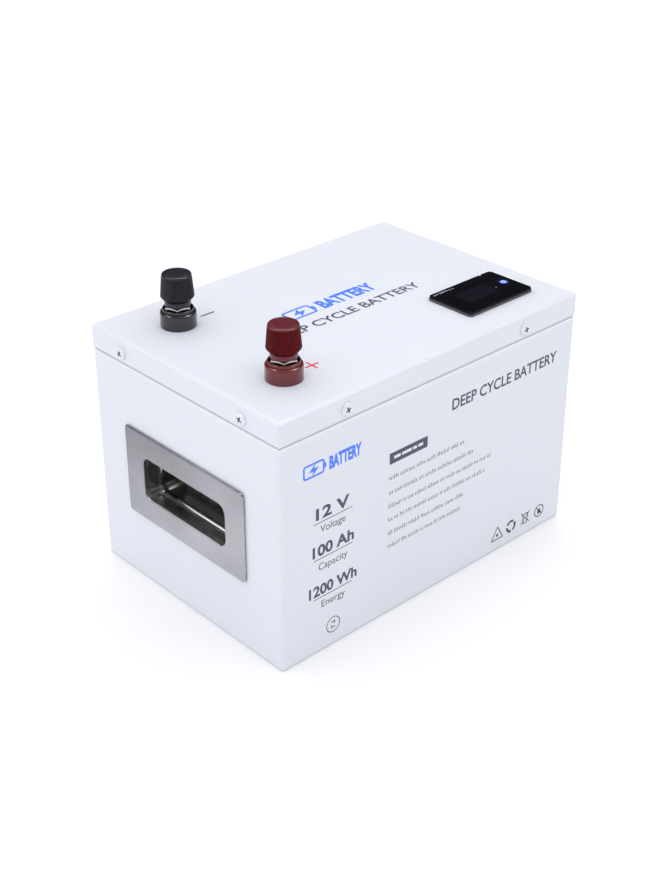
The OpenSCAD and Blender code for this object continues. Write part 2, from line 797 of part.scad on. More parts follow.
// From the board's left power pad up to the black post
module negative_cable() {
    color("black") lead(
        [-bms_lug_x - lug_reach, bms_lug_y, bms_top + lug_axis], [-1, 0, 0],
        [-post_x, post_y - lug_reach, stud_lug_z - lug_axis], [0, 1, 0],
        [1, 1, 0], 20, cable_r, lug_grip + 1);
}

// From the stack's negative pole to the board's right power pad
module bms_cable() {
    color("black") lead(
        [cell_x(cells - 1) + lug_reach, -pole_y, busbar_z + lug_axis], [1, 0, 0],
        [bms_lug_x + lug_reach, -bms_lug_y, bms_top + lug_axis], [-1, 0, 0], [0, -1, 1], 30, cable_r,
        lug_grip + 1);
}

// A plug on each long edge of the board, and one thin lead to each link and each end pole's lug
module balance_leads() {
    plug = [16, 6, 7];
    plug_y = bms_size[1] / 2 - plug[1] - 0.5;
    lug_spot = [9.5, -7.4];       // from the first and last pole to where a lead meets the lug's flat
    for (s = [-1, 1]) color("white")
        translate([-plug[0] / 2, s > 0 ? plug_y : -plug_y - plug[1], bms_top]) cube(plug);
    color("gold") for (i = [0 : cells]) {
        s = i % 2 == 1 ? 1 : -1;
        tap_x = i == 0 ? cell_x(0) + lug_spot[0] : i == cells ? cell_x(cells - 1) + lug_spot[1]
            : (i - cells / 2) * cell_pitch;
        lead([(i - cells / 2) * 3, s * (plug_y + plug[1]), bms_top + 3.5], [0, s, 0],
            [tap_x, s * pole_y, busbar_z + busbar_t], [0, 0, -1], [0, s, 1], 14, 0.7, 1, 10, 8);
    }
}

// Thermistor on a cell's top, with its lead and plug on the board
module temp_sensor() {
    spot = [40, 10];
    plug = [6, 6, 5];
    plug_y = bms_size[1] / 2 - plug[1] - 0.5;
    color("black") {
        translate([spot[0] - 3, spot[1] - 4, cell_top]) cube([6, 4, 2.5]);
        translate([54 - plug[0] / 2, plug_y, bms_top]) cube(plug);
        lead([spot[0], spot[1], cell_top + 1.2], [0, 1, 0], [54, plug_y + plug[1], bms_top + 2.5], [0, -1, 0],
            [1, 0, 0.3], 34, 0.9, 1, 12, 8);
    }
}

// From the display's back down to the board
module display_cable() {
    color("dimgray") lead(
        [display_x, display_y, height - tub_depth + tub_t - 1], [0, 0, -1],
        [66, -26, bms_top], [0, 0, -1], [1, 0.3, 0], 18, 2);
}

// ---------------------------------------------------------------- assembly

case();
lid();
lid_screws();
clinch_nuts();
handle_plate(-1);  // left_handle_plate
handle_plate(1);  // right_handle_plate
handle_cup(-1);  // left_handle_cup
handle_cup(1);  // right_handle_cup
handle_gasket(-1);  // left_handle_gasket
handle_gasket(1);  // right_handle_gasket
handle_nuts();
post_base(-1, [0.45, 0.05, 0.07]);  // positive_base
post_base(1, [0.06, 0.06, 0.07]);  // negative_base
post_stud(-1);  // positive_stud
post_stud(1);  // negative_stud
post_hex_nut(-1);  // positive_hex_nut
post_hex_nut(1);  // negative_hex_nut
post_washer(-1);  // positive_washer
post_washer(1);  // negative_washer
post_cap(-1, [0.3, 0.04, 0.06]);  // positive_cap
post_cap(1, [0.06, 0.06, 0.07]);  // negative_cap
post_cap_insert(-1);  // positive_cap_insert
post_cap_insert(1);  // negative_cap_insert
stud_insulators();
stud_washers();
stud_lock_nuts();
display_housing();
display_glass();
display_lcd();
display_board();
display_led();
power_button();
button_switch();
display_screws();
display_cable();
cell(0);  // cell_1
cell(1);  // cell_2
cell(2);  // cell_3
cell(3);  // cell_4
cell_poles();
cell_sheets();
end_plate(-1);  // left_end_plate
end_plate(1);  // right_end_plate
pack_straps();
busbars();
busbar_nuts();
base_pad();
side_pads();
bms_tray();
bms_board();
bms_heatsink();
bms_mosfets();
bms_screws();
positive_cable();
negative_cable();
bms_cable();
cable_lugs();
balance_leads();
temp_sensor();
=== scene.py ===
"""Looks of the deep cycle battery: detailed pieces, materials, light and camera around the CAD frame."""
import json
import random
from math import copysign, cos, hypot, pi, radians, sin, sqrt, tan

import bmesh
import bpy
from mathutils import Matrix, Vector


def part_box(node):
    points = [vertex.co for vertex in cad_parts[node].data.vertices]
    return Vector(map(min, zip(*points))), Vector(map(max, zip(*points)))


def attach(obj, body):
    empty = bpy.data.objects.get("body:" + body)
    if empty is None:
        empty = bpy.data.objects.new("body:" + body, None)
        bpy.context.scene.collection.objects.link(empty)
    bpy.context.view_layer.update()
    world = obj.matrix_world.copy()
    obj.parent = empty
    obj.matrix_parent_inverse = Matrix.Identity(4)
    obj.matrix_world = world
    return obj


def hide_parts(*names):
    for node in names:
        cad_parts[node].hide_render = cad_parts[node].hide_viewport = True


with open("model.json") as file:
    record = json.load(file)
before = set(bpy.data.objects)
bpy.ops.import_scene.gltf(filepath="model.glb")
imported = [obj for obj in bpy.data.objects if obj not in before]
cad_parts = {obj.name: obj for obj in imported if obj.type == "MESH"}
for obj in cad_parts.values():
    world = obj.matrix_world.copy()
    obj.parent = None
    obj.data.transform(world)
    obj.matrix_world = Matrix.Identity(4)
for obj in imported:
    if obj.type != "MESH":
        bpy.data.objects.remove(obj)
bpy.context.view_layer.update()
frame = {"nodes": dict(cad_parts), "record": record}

MM = 0.001
WELD = 1e-6             # metres
scene = bpy.context.scene


# ------------------------------------------------------------------ where the CAD says things are

def node_box(node):
    """Lowest and highest corner of a CAD node, in millimetres."""
    lo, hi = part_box(node)
    return lo / MM, hi / MM


def middle(lo, hi):
    return (lo.x + hi.x) / 2, (lo.y + hi.y) / 2


def node_islands(node):
    """Centre of each separate solid of a CAD node, in millimetres."""
    mesh = frame["nodes"][node].data
    keys = [tuple(round(c / WELD / 10) for c in v.co) for v in mesh.vertices]
    root = {k: k for k in keys}

    def find(k):
        while root[k] != k:
            root[k] = root[root[k]]
            k = root[k]
        return k

    for edge in mesh.edges:
        root[find(keys[edge.vertices[0]])] = find(keys[edge.vertices[1]])
    groups = {}
    for key, vertex in zip(keys, mesh.vertices):
        groups.setdefault(find(key), []).append(vertex.co)
    centres = []
    for points in groups.values():
        lo = Vector([min(p[i] for p in points) for i in range(3)])
        hi = Vector([max(p[i] for p in points) for i in range(3)])
        centres.append((lo + hi) / 2 / MM)
    return centres


LID_LO, LID_HI = node_box("lid")
CASE_LO, CASE_HI = node_box("case")
NECK_INSET = 1.8        # from the lid's outside to the case's neck behind the rim
TOP = LID_HI.z
FRONT = CASE_LO.y
SHEET = 1.5
FOLD = 2.0              # of the case, and of every upright corner
LID_FOLD = 2.8
RIM_CORNER = 2.5        # of the rim's lower corners
RIM_RUNS = (2.9, 3.1)   # points along the rim, just past its lower corners
SCREW_HEAD = 2.2
GASKET = 0.8
CUP_CORNER = 9.0
SPIGOT_R, HOLE_PLAY = 8.0, 0.1      # a post base's spigot in the lid
TUB = (64, 38, 3)       # the display's tub in the lid: width, depth and corner


# ------------------------------------------------------------------ shapes, in millimetres
# A shape is a list of parts, and a part is (points, faces).

def rounded(w, d, r, z=0.0, seg=6, runs=()):
    """A rectangle with round corners. runs are distances from each corner where its sides get a point too."""
    points = []
    for q in range(4):
        a, b = radians(90 * q), radians(90 * (q + 1))
        e1 = Vector((round(cos(a)), round(sin(a)), 0))
        e2 = Vector((round(cos(b)), round(sin(b)), 0))
        half1, half2 = (w / 2, d / 2) if q % 2 == 0 else (d / 2, w / 2)
        corner = e1 * half1 + e2 * half2 + Vector((0, 0, z))
        points += [corner - e2 * run for run in sorted(runs, reverse=True)]
        centre = corner - (e1 + e2) * r
        for i in range(seg + 1):
            t = radians(90 * i / seg)
            points.append(centre + e1 * r * cos(t) + e2 * r * sin(t))
        points += [corner - e1 * run for run in sorted(runs)]
    return [tuple(p) for p in points]


def loft(rings, closed=False):
    """One solid through rings of points. It is capped, or its last ring joins the first."""
    n = len(rings[0])
    points = [p for ring in rings for p in ring]
    faces = []
    for i in range(len(rings) if closed else len(rings) - 1):
        a, b = i * n, (i + 1) % len(rings) * n
        faces += [(a + k, a + (k + 1) % n, b + (k + 1) % n, b + k) for k in range(n)]
    if not closed:
        faces.append(tuple(range(n - 1, -1, -1)))
        faces.append(tuple(range((len(rings) - 1) * n, len(rings) * n)))
    return [(points, faces)]


def circle(r, z, n=96, wave=0.0, ribs=0):
    """A ring of n points. With ribs, grooves as deep as wave run between rounded ribs."""
    ring = []
    for k in range(n):
        a = 2 * pi * k / n
        groove = wave * (0.5 - 0.5 * cos(ribs * a)) ** 2 if ribs else 0
        ring.append(((r - groove) * cos(a), (r - groove) * sin(a), z))
    return ring


def lathe(profile, n=96, closed=False, ribs=0):
    """A turned solid. The profile holds (radius, height) or (radius, height, groove depth)."""
    return loft([circle(p[0], p[1], n, p[2] if len(p) > 2 else 0, ribs) for p in profile], closed)


def arc(cx, cz, r, a0, a1, steps=6):
    """Profile points on an arc, with angles in degrees from the outward direction."""
    out = []
    for i in range(steps + 1):
        a = radians(a0 + (a1 - a0) * i / steps)
        out.append((cx + r * cos(a), cz + r * sin(a)))
    return out


def prism(outline, z0, z1):
    """An upright solid on a flat outline of (x, y) points."""
    return loft([[(x, y, z0) for x, y in outline], [(x, y, z1) for x, y in outline]])


def moved(shape, place):
    """The shape with each point put through place(x, y, z)."""
    return [([tuple(place(*p)) for p in points], faces) for points, faces in shape]


def shifted(shape, dx=0.0, dy=0.0, dz=0.0, turn=0.0):
    c, s = cos(radians(turn)), sin(radians(turn))
    return moved(shape, lambda x, y, z: (x * c - y * s + dx, x * s + y * c + dy, z + dz))


def to_mesh(shape, name="mesh"):
    """A welded Blender mesh, in metres, with its normals outwards."""
    bm = bmesh.new()
    for points, faces in shape:
        verts = [bm.verts.new(Vector(p) * MM) for p in points]
        for face in faces:
            bm.faces.new([verts[i] for i in face])
    bmesh.ops.remove_doubles(bm, verts=bm.verts, dist=WELD)
    bmesh.ops.dissolve_degenerate(bm, edges=bm.edges, dist=WELD)
    bmesh.ops.recalc_face_normals(bm, faces=bm.faces)
    mesh = bpy.data.meshes.new(name)
    bm.to_mesh(mesh)
    bm.free()
    return mesh


def evaluated(holder):
    """The mesh of an object with its modifiers or lettering worked out."""
    bpy.context.view_layer.update()
    return bpy.data.meshes.new_from_object(holder.evaluated_get(bpy.context.evaluated_depsgraph_get()))


def cut_mesh(shape, cutter):
    """The shape's mesh with the cutter's shape taken out of it."""
    tool = bpy.data.objects.new("cutter", to_mesh(cutter))
    piece = bpy.data.objects.new("blank", to_mesh(shape))
    for o in (tool, piece):
        scene.collection.objects.link(o)
    boolean = piece.modifiers.new("cut", "BOOLEAN")
    boolean.object, boolean.operation, boolean.solver = tool, "DIFFERENCE", "EXACT"
    mesh = evaluated(piece)
    for o in (tool, piece):
        bpy.data.objects.remove(o)
    return mesh


def add_piece(name, mesh, looks, body="root", replaces=(), sharp=30, smooth=True):
    """Puts a mesh or shape in the scene as a piece on a body, with its finishes in order."""
    looks = [looks] if isinstance(looks, str) else looks
    if isinstance(mesh, list):
        mesh = to_mesh(mesh, name)
    bm = bmesh.new()
    bm.from_mesh(mesh)
    for face in bm.faces:
        face.smooth = smooth
    for edge in bm.edges:
        edge.smooth = len(edge.link_faces) == 2 and edge.calc_face_angle(0) < radians(sharp)
    bm.to_mesh(mesh)
    bm.free()
    mesh.name = name
    mesh.materials.clear()
    for look in looks:
        mesh.materials.append(FINISHES[look])
    piece = bpy.data.objects.new(name, mesh)
    scene.collection.objects.link(piece)
    if smooth:
        shade = piece.modifiers.new("shade", "WEIGHTED_NORMAL")
        shade.keep_sharp = True
    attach(piece, body)
    if replaces:
        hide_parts(*replaces)
    return piece


# ------------------------------------------------------------------ materials

def node_of(tree, kind, inputs=None, **settings):
    node = tree.nodes.new("ShaderNode" + kind)
    for key, value in settings.items():
        setattr(node, key, value)
    for key, value in (inputs or {}).items():
        if isinstance(value, bpy.types.NodeSocket):
            tree.links.new(value, node.inputs[key])
        else:
            node.inputs[key].default_value = value
    return node


def maths(tree, operation, a, b):
    return node_of(tree, "Math", {0: a, 1: b}, operation=operation).outputs[0]


def vector_maths(tree, operation, a, b=(0, 0, 0), output="Vector"):
    return node_of(tree, "VectorMath", {0: a, 1: b}, operation=operation).outputs[output]


def noise(tree, coords, scale, detail=3.0, stretch=(1, 1, 1)):
    mapped = node_of(tree, "Mapping", {"Vector": coords, "Scale": stretch})
    return node_of(tree, "TexNoise",
                   {"Vector": mapped.outputs[0], "Scale": scale, "Detail": detail}).outputs["Fac"]


def ramp(tree, value, low, high, out_low, out_high):
    return node_of(tree, "MapRange", {
        "Value": value, "From Min": low, "From Max": high, "To Min": out_low, "To Max": out_high,
    }).outputs[0]


def blend_colour(tree, amount, a, b):
    node = node_of(tree, "Mix", data_type="RGBA")
    for socket, value in ((0, amount), (6, a), (7, b)):
        if isinstance(value, bpy.types.NodeSocket):
            tree.links.new(value, node.inputs[socket])
        elif socket:
            node.inputs[socket].default_value = (*value, 1)
        else:
            node.inputs[socket].default_value = value
    return node.outputs[2]


EDGE_WEAR_AND_HIGHLIGHT_PATCHES = 260      # noise scale of the breaks in worn and highlighted edges
GLASS_IOR = 1.5


def edge_mask(tree, coords, radius, breakup):
    """1 on convex and concave edges, broken up by noise, and 0 on open faces."""
    bevel = node_of(tree, "Bevel", {"Radius": radius * MM}, samples=4)
    flat = node_of(tree, "NewGeometry").outputs["Normal"]
    dot = vector_maths(tree, "DOT_PRODUCT", bevel.outputs[0], flat, "Value")
    edge = ramp(tree, dot, 0.995, 0.90, 0, 1)
    patches = ramp(tree, noise(tree, coords, breakup), 0.42, 0.62, 0.15, 1)
    return maths(tree, "MULTIPLY", edge, patches)


def finish(name, colour, rough, metallic=0.0, shift=0.05, blotch=40.0, rough_shift=0.05, grain=900.0,
           bump=0.1, depth=0.05, stretch=(1, 1, 1), edge_wear_and_highlight=0.0, edge_wear_and_highlight_colour=None, edge_wear_and_highlight_radius=0.4,
           coat=0.0, coat_rough=0.05, specular=0.5, anisotropy=0.0, emission=None, power=0.0, sheen=0.0):
    """A finish with slight colour and gloss variation, fine relief and worn edges, which on the brushed plate
    and the window glass are also a painted highlight. depth is in mm.
    """
    mat = bpy.data.materials.new(name)
    mat.use_nodes = True
    tree = mat.node_tree
    shader = tree.nodes["Principled BSDF"]
    coords = node_of(tree, "TexCoord").outputs["Object"]
    patch = noise(tree, coords, blotch, 4)
    fine = noise(tree, coords, grain, stretch=stretch)
    dark = tuple(max(c * (1 - shift), 0) for c in colour)
    light = tuple(min(c * (1 + shift), 1) for c in colour)
    tint = blend_colour(tree, ramp(tree, patch, 0.35, 0.65, 0, 1), dark, light)
    gloss = ramp(tree, fine, 0.3, 0.7, max(rough - rough_shift, 0.02), min(rough + rough_shift, 1))
    if edge_wear_and_highlight:
        mask = maths(tree, "MULTIPLY", edge_mask(tree, coords, edge_wear_and_highlight_radius, EDGE_WEAR_AND_HIGHLIGHT_PATCHES), edge_wear_and_highlight)
        worn_and_highlight_tint = edge_wear_and_highlight_colour or tuple(min(c * 1.5 + 0.05, 1) for c in colour)
        tint = blend_colour(tree, mask, tint, worn_and_highlight_tint)
    tree.links.new(tint, shader.inputs["Base Color"])
    tree.links.new(gloss, shader.inputs["Roughness"])
    relief = node_of(tree, "Bump", {"Height": fine, "Strength": bump, "Distance": depth * MM})
    tree.links.new(relief.outputs[0], shader.inputs["Normal"])
    for socket, value in (("Metallic", metallic), ("Coat Weight", coat), ("Coat Roughness", coat_rough),
                          ("Specular IOR Level", specular), ("IOR", GLASS_IOR), ("Anisotropic", anisotropy),
                          ("Sheen Weight", sheen)):
        shader.inputs[socket].default_value = value
    if emission:
        shader.inputs["Emission Color"].default_value = (*emission, 1)
        shader.inputs["Emission Strength"].default_value = power
    return mat


INK = dict(shift=0.06, blotch=300, grain=2500, bump=0.05, depth=0.02)
GLOSS = dict(blotch=120, rough_shift=0.03, grain=500, bump=0.05, coat=0.6, coat_rough=0.04, edge_wear_and_highlight=0.3,
    edge_wear_and_highlight_radius=0.25)
PHENOLIC = dict(blotch=200, rough_shift=0.06, grain=1500, bump=0.05, depth=0.04, edge_wear_and_highlight_radius=0.2)
MOULDED = dict(blotch=200, rough_shift=0.04, bump=0.04, depth=0.03, edge_wear_and_highlight=0.2, edge_wear_and_highlight_radius=0.2)
CABLE = dict(grain=700, bump=0.2, edge_wear_and_highlight=0.2)
BUTTON = dict(bump=0.05)
LOOKS = {
    "case_paint": ((0.735, 0.755, 0.82), 0.34, dict(shift=0.008, blotch=9, grain=650, edge_wear_and_highlight=0.25,
        edge_wear_and_highlight_colour=(0.86, 0.87, 0.9), specular=0.3)),
    # A lighter copy of the case paint for the case's top band under the rim: a painted highlight band, which
    # also lifts the painted-over shade under the rim.
    "shoulder_painted_highlight": ((0.79, 0.805, 0.865), 0.34, dict(shift=0.01, blotch=12, grain=650, edge_wear_and_highlight=0.2,
        edge_wear_and_highlight_colour=(0.88, 0.89, 0.92), specular=0.2)),
    "screw_paint": ((0.74, 0.755, 0.82), 0.32, dict(shift=0.03, blotch=300, edge_wear_and_highlight=0.35,
        edge_wear_and_highlight_colour=(0.5, 0.5, 0.52), edge_wear_and_highlight_radius=0.25)),
    "recess": ((0.26, 0.265, 0.31), 0.5, dict(metallic=0.4, grain=1500, bump=0.2)),
    "slate_ink": ((0.055, 0.068, 0.108), 0.5, INK),
    "black_ink": ((0.03, 0.035, 0.05), 0.5, INK),
    "blue_ink": ((0.045, 0.19, 0.93), 0.5, INK),
    "red_ink": ((0.7, 0.035, 0.05), 0.5, INK),
    "pale_ink": ((0.72, 0.74, 0.8), 0.5, INK),
    # The plate's edges are painted much lighter: partly a polished edge, partly a painted highlight line
    # along the rim.
    "brushed_stainless": ((0.385, 0.385, 0.395), 0.3, dict(metallic=1, shift=0.1, blotch=14,
        rough_shift=0.06, grain=1400, stretch=(1, 0.03, 1), bump=0.16, depth=0.02, anisotropy=0.5, edge_wear_and_highlight=0.9,
        edge_wear_and_highlight_colour=(0.85, 0.84, 0.82))),
    "polished_stainless": ((0.6, 0.59, 0.57), 0.19, dict(metallic=1, shift=0.08, blotch=50, grain=180,
        bump=0.08, depth=0.12)),
    "gasket_rubber": ((0.03, 0.03, 0.035), 0.75, dict(shift=0.15, grain=1600, bump=0.3, edge_wear_and_highlight=0.3,
        edge_wear_and_highlight_colour=(0.09, 0.09, 0.09))),
    "zinc_steel": ((0.62, 0.63, 0.66), 0.34, dict(metallic=1, shift=0.08, blotch=180, grain=1200, bump=0.15,
        edge_wear_and_highlight=0.4)),
    "nickel_brass": ((0.66, 0.64, 0.58), 0.17, dict(metallic=1, blotch=150, rough_shift=0.06, grain=1400,
        bump=0.08, edge_wear_and_highlight=0.5, edge_wear_and_highlight_colour=(0.8, 0.74, 0.58))),
    "brass": ((0.72, 0.52, 0.22), 0.3, dict(metallic=1, shift=0.08, grain=1200, edge_wear_and_highlight=0.3)),
    "red_gloss": ((0.13, 0.008, 0.01), 0.16, dict(GLOSS, shift=0.1, edge_wear_and_highlight_colour=(0.3, 0.06, 0.06))),
    "black_gloss": ((0.01, 0.01, 0.012), 0.15, dict(GLOSS, shift=0.15, edge_wear_and_highlight_colour=(0.07, 0.07, 0.075))),
    # A cap's ribbed band (phenolic) and its smooth top and neck (moulded) are one moulding: the moulded
    # finish is glossier, and its lighter colour is painted light on the top and neck.
    "red_phenolic": ((0.086, 0.003, 0.005), 0.26, dict(PHENOLIC, shift=0.15, edge_wear_and_highlight=0.15, specular=0.08,
        edge_wear_and_highlight_colour=(0.22, 0.03, 0.04))),
    "red_moulded": ((0.125, 0.018, 0.03), 0.17, dict(MOULDED, shift=0.08, edge_wear_and_highlight_colour=(0.24, 0.06, 0.08))),
    "black_moulded": ((0.015, 0.016, 0.024), 0.17, dict(MOULDED, shift=0.1,
        edge_wear_and_highlight_colour=(0.07, 0.07, 0.08))),
    "black_phenolic": ((0.009, 0.009, 0.013), 0.24, dict(PHENOLIC, shift=0.2, edge_wear_and_highlight=0.25, specular=0.28,
        edge_wear_and_highlight_colour=(0.07, 0.07, 0.08))),
    "display_plastic": ((0.07, 0.07, 0.086), 0.3, dict(shift=0.15, blotch=90, grain=2200, bump=0.2,
        edge_wear_and_highlight=0.35, edge_wear_and_highlight_colour=(0.16, 0.16, 0.18), edge_wear_and_highlight_radius=0.25)),
    "lcd_face": ((0.012, 0.014, 0.02), 0.2, dict(shift=0.1)),
    "led_lens": ((0.42, 0.42, 0.3), 0.25, dict(shift=0.1, coat=0.4)),
    "circuit_board": ((0.015, 0.13, 0.05), 0.38, dict(shift=0.25, blotch=350, grain=1500, bump=0.2,
        edge_wear_and_highlight=0.4, edge_wear_and_highlight_colour=(0.3, 0.33, 0.15))),
    "chip_black": ((0.03, 0.03, 0.032), 0.6, dict(shift=0.15, grain=2000, edge_wear_and_highlight=0.3)),
    "aluminium": ((0.72, 0.72, 0.74), 0.38, dict(metallic=1, shift=0.06, stretch=(0.05, 1, 1), bump=0.15,
        edge_wear_and_highlight=0.4)),
    "cell_wrap": ((0.02, 0.09, 0.42), 0.28, dict(shift=0.12, blotch=25, grain=180, bump=0.2, depth=0.2,
        edge_wear_and_highlight=0.3, edge_wear_and_highlight_colour=(0.12, 0.25, 0.6))),
    "insulation_card": ((0.66, 0.62, 0.5), 0.85, dict(shift=0.08, grain=2600, stretch=(1, 0.3, 1), bump=0.3,
        edge_wear_and_highlight=0.3)),
    "foam": ((0.045, 0.045, 0.05), 0.95, dict(shift=0.3, blotch=900, grain=2400, bump=0.9, depth=0.3,
        sheen=0.1, edge_wear_and_highlight=0.2)),
    "copper": ((0.72, 0.3, 0.16), 0.28, dict(metallic=1, shift=0.15, blotch=120, bump=0.12, edge_wear_and_highlight=0.4)),
    "tinned_copper": ((0.66, 0.66, 0.64), 0.32, dict(metallic=1, shift=0.08, edge_wear_and_highlight=0.4,
        edge_wear_and_highlight_colour=(0.72, 0.5, 0.38))),
    "red_cable": ((0.42, 0.016, 0.016), 0.45, dict(CABLE, shift=0.12)),
    "black_cable": ((0.02, 0.02, 0.022), 0.45, dict(CABLE, shift=0.2)),
    "white_lead": ((0.66, 0.66, 0.64), 0.45, dict(shift=0.08, bump=0.2, edge_wear_and_highlight=0.2)),
    "button_white": ((0.42, 0.5, 0.7), 0.3, dict(BUTTON, shift=0.03, emission=(0.5, 0.64, 1.0), power=0.5)),
    "button_ring": ((0.01, 0.022, 0.14), 0.3, dict(BUTTON, emission=(0.01, 0.03, 0.3), power=0.25)),
    "button_blue": ((0.03, 0.1, 0.85), 0.3, dict(BUTTON, emission=(0.03, 0.12, 1.0), power=0.6)),
}
FINISHES = {name: finish(name, colour, rough, **rest) for name, (colour, rough, rest) in LOOKS.items()}


PLATE_REFLECTION_SLOPE = (0, 7.5, 13.0)        # how fast the painted reflection darkens, per metre
PLATE_LIGHT, PLATE_DARK = (1.16, 1.15, 1.20), (0.60, 0.60, 0.64)


def paint_plate_reflection(mat, middle_z):
    """Painted reflection: the plate's colour is darker towards its upper, +Y corner and lighter towards its
    lower, -Y corner.
    """
    tree = mat.node_tree
    shader = tree.nodes["Principled BSDF"]
    coords = node_of(tree, "TexCoord").outputs["Object"]
    local = vector_maths(tree, "SUBTRACT", coords, (0, 0, middle_z * MM))
    slope = vector_maths(tree, "DOT_PRODUCT", local, PLATE_REFLECTION_SLOPE, "Value")
    painted_reflection_shade = ramp(tree, slope, -0.35, 0.95, 0.0, 1.0)
    tint = shader.inputs["Base Color"].links[0].from_socket
    lighter, darker = (node_of(tree, "Mix", {0: 1.0, 6: tint, 7: (*colour, 1)}, data_type="RGBA",
                               blend_type="MULTIPLY").outputs[2] for colour in (PLATE_LIGHT, PLATE_DARK))
    tree.links.new(blend_colour(tree, painted_reflection_shade, lighter, darker), shader.inputs["Base Color"])


SCREEN_TINT = (0.0072, 0.0078, 0.0125)
HALO_TINT, HALO_GLOW = (0.004, 0.018, 0.16), (0.010, 0.05, 0.55)


def window_material(lcd, button):
    """Black glass with the faint screen behind it and the blue glow around the button."""
    # The glass's edges are painted lighter: a painted highlight along the edges of the pane.
    mat = finish("display_window", (0.0030, 0.0033, 0.0055), 0.06, shift=0.2, blotch=60, rough_shift=0.02,
                 grain=300, bump=0.03, edge_wear_and_highlight=0.4, edge_wear_and_highlight_colour=(0.05, 0.05, 0.06),
                 edge_wear_and_highlight_radius=0.3, specular=0.13)
    tree = mat.node_tree
    shader = tree.nodes["Principled BSDF"]
    coords = node_of(tree, "TexCoord").outputs["Object"]

    def inside(offset, half, soft):
        """1 inside a rectangle around offset and 0 outside, in millimetres."""
        local = vector_maths(tree, "SUBTRACT", coords, Vector(offset) * MM)
        axes = node_of(tree, "SeparateXYZ", {0: vector_maths(tree, "ABSOLUTE", local)})
        masks = [ramp(tree, axes.outputs[i], (half[i] + soft) * MM, (half[i] - soft) * MM, 0, 1)
                 for i in (0, 1)]
        return maths(tree, "MULTIPLY", *masks)

    tint = shader.inputs["Base Color"].links[0].from_socket
    tint = blend_colour(tree, inside(*lcd, 0.3), tint, SCREEN_TINT)
    away = vector_maths(tree, "DISTANCE", coords, Vector(button) * MM, "Value")
    halo = maths(tree, "MULTIPLY", ramp(tree, away, 4.4 * MM, 4.1 * MM, 0, 1),
                 ramp(tree, away, 3.5 * MM, 3.8 * MM, 0.2, 1))
    tree.links.new(blend_colour(tree, halo, tint, HALO_TINT), shader.inputs["Base Color"])
    tree.links.new(blend_colour(tree, halo, (0, 0, 0), HALO_GLOW), shader.inputs["Emission Color"])
    shader.inputs["Emission Strength"].default_value = 0.35
    return mat


# ------------------------------------------------------------------ case and lid

def folded(w, d, edge, fold, z_flat, way, steps=6, runs=()):
    """Rings that leave a flat face at z_flat over a round fold and end on the upright wall."""
    rings = []
    for i in range(steps + 1):
        a = radians(90 * i / steps)
        inset = fold * (1 - sin(a))
        rings.append(rounded(w - 2 * inset, d - 2 * inset, max(edge - inset, 0),
                             z_flat + way * fold * (1 - cos(a)), runs=runs))
    return rings


def drilled(spots, r, reach):
    """Cutters of radius r through the sheet at places on the sides, given as (point, outward direction)."""
    out = []
    for point, way in spots:
        side = Vector((-way.y, way.x, 0))
        up = Vector((0, 0, 1))
        out += moved(lathe([(r, -reach), (r, reach)], 48),
                     lambda x, y, z, p=point, s=side, w=way: p + s * x + up * y + w * z)
    return out


def screw_spots():
    """Where each lid screw's head meets the rim, and which way it points."""
    spots = []
    for c in node_islands("lid_screws"):
        i = 0 if abs(c.x) > LID_HI.x - 4 * FOLD else 1
        way = Vector()
        way[i] = copysign(1, c[i])
        c[i] = copysign(LID_HI[i], c[i])
        spots.append((c, way))
    return spots


SCREWS = screw_spots()
CUP_LO, CUP_HI = node_box("left_handle_cup")
GRIP_Z = (CUP_LO.z + CUP_HI.z) / 2
CUP_SIZE = (CUP_HI.y - CUP_LO.y, CUP_HI.z - CUP_LO.z)
STUD_R = 2.0
# Paints a reflection gradient onto the plates: darker at the upper +Y corner, lighter at the lower one.
paint_plate_reflection(FINISHES["brushed_stainless"], GRIP_Z)


def on_end(side):
    """Places a shape drawn as (across, up, outwards) on an end wall."""
    return lambda x, y, z: (side * (CASE_HI.x + z), x, GRIP_Z + y)


def grip_studs():
    """The welded studs of one handle plate, as (across, up) from its middle."""
    return [(c.y, c.z - GRIP_Z) for c in node_islands("handle_nuts") if c.x < 0]


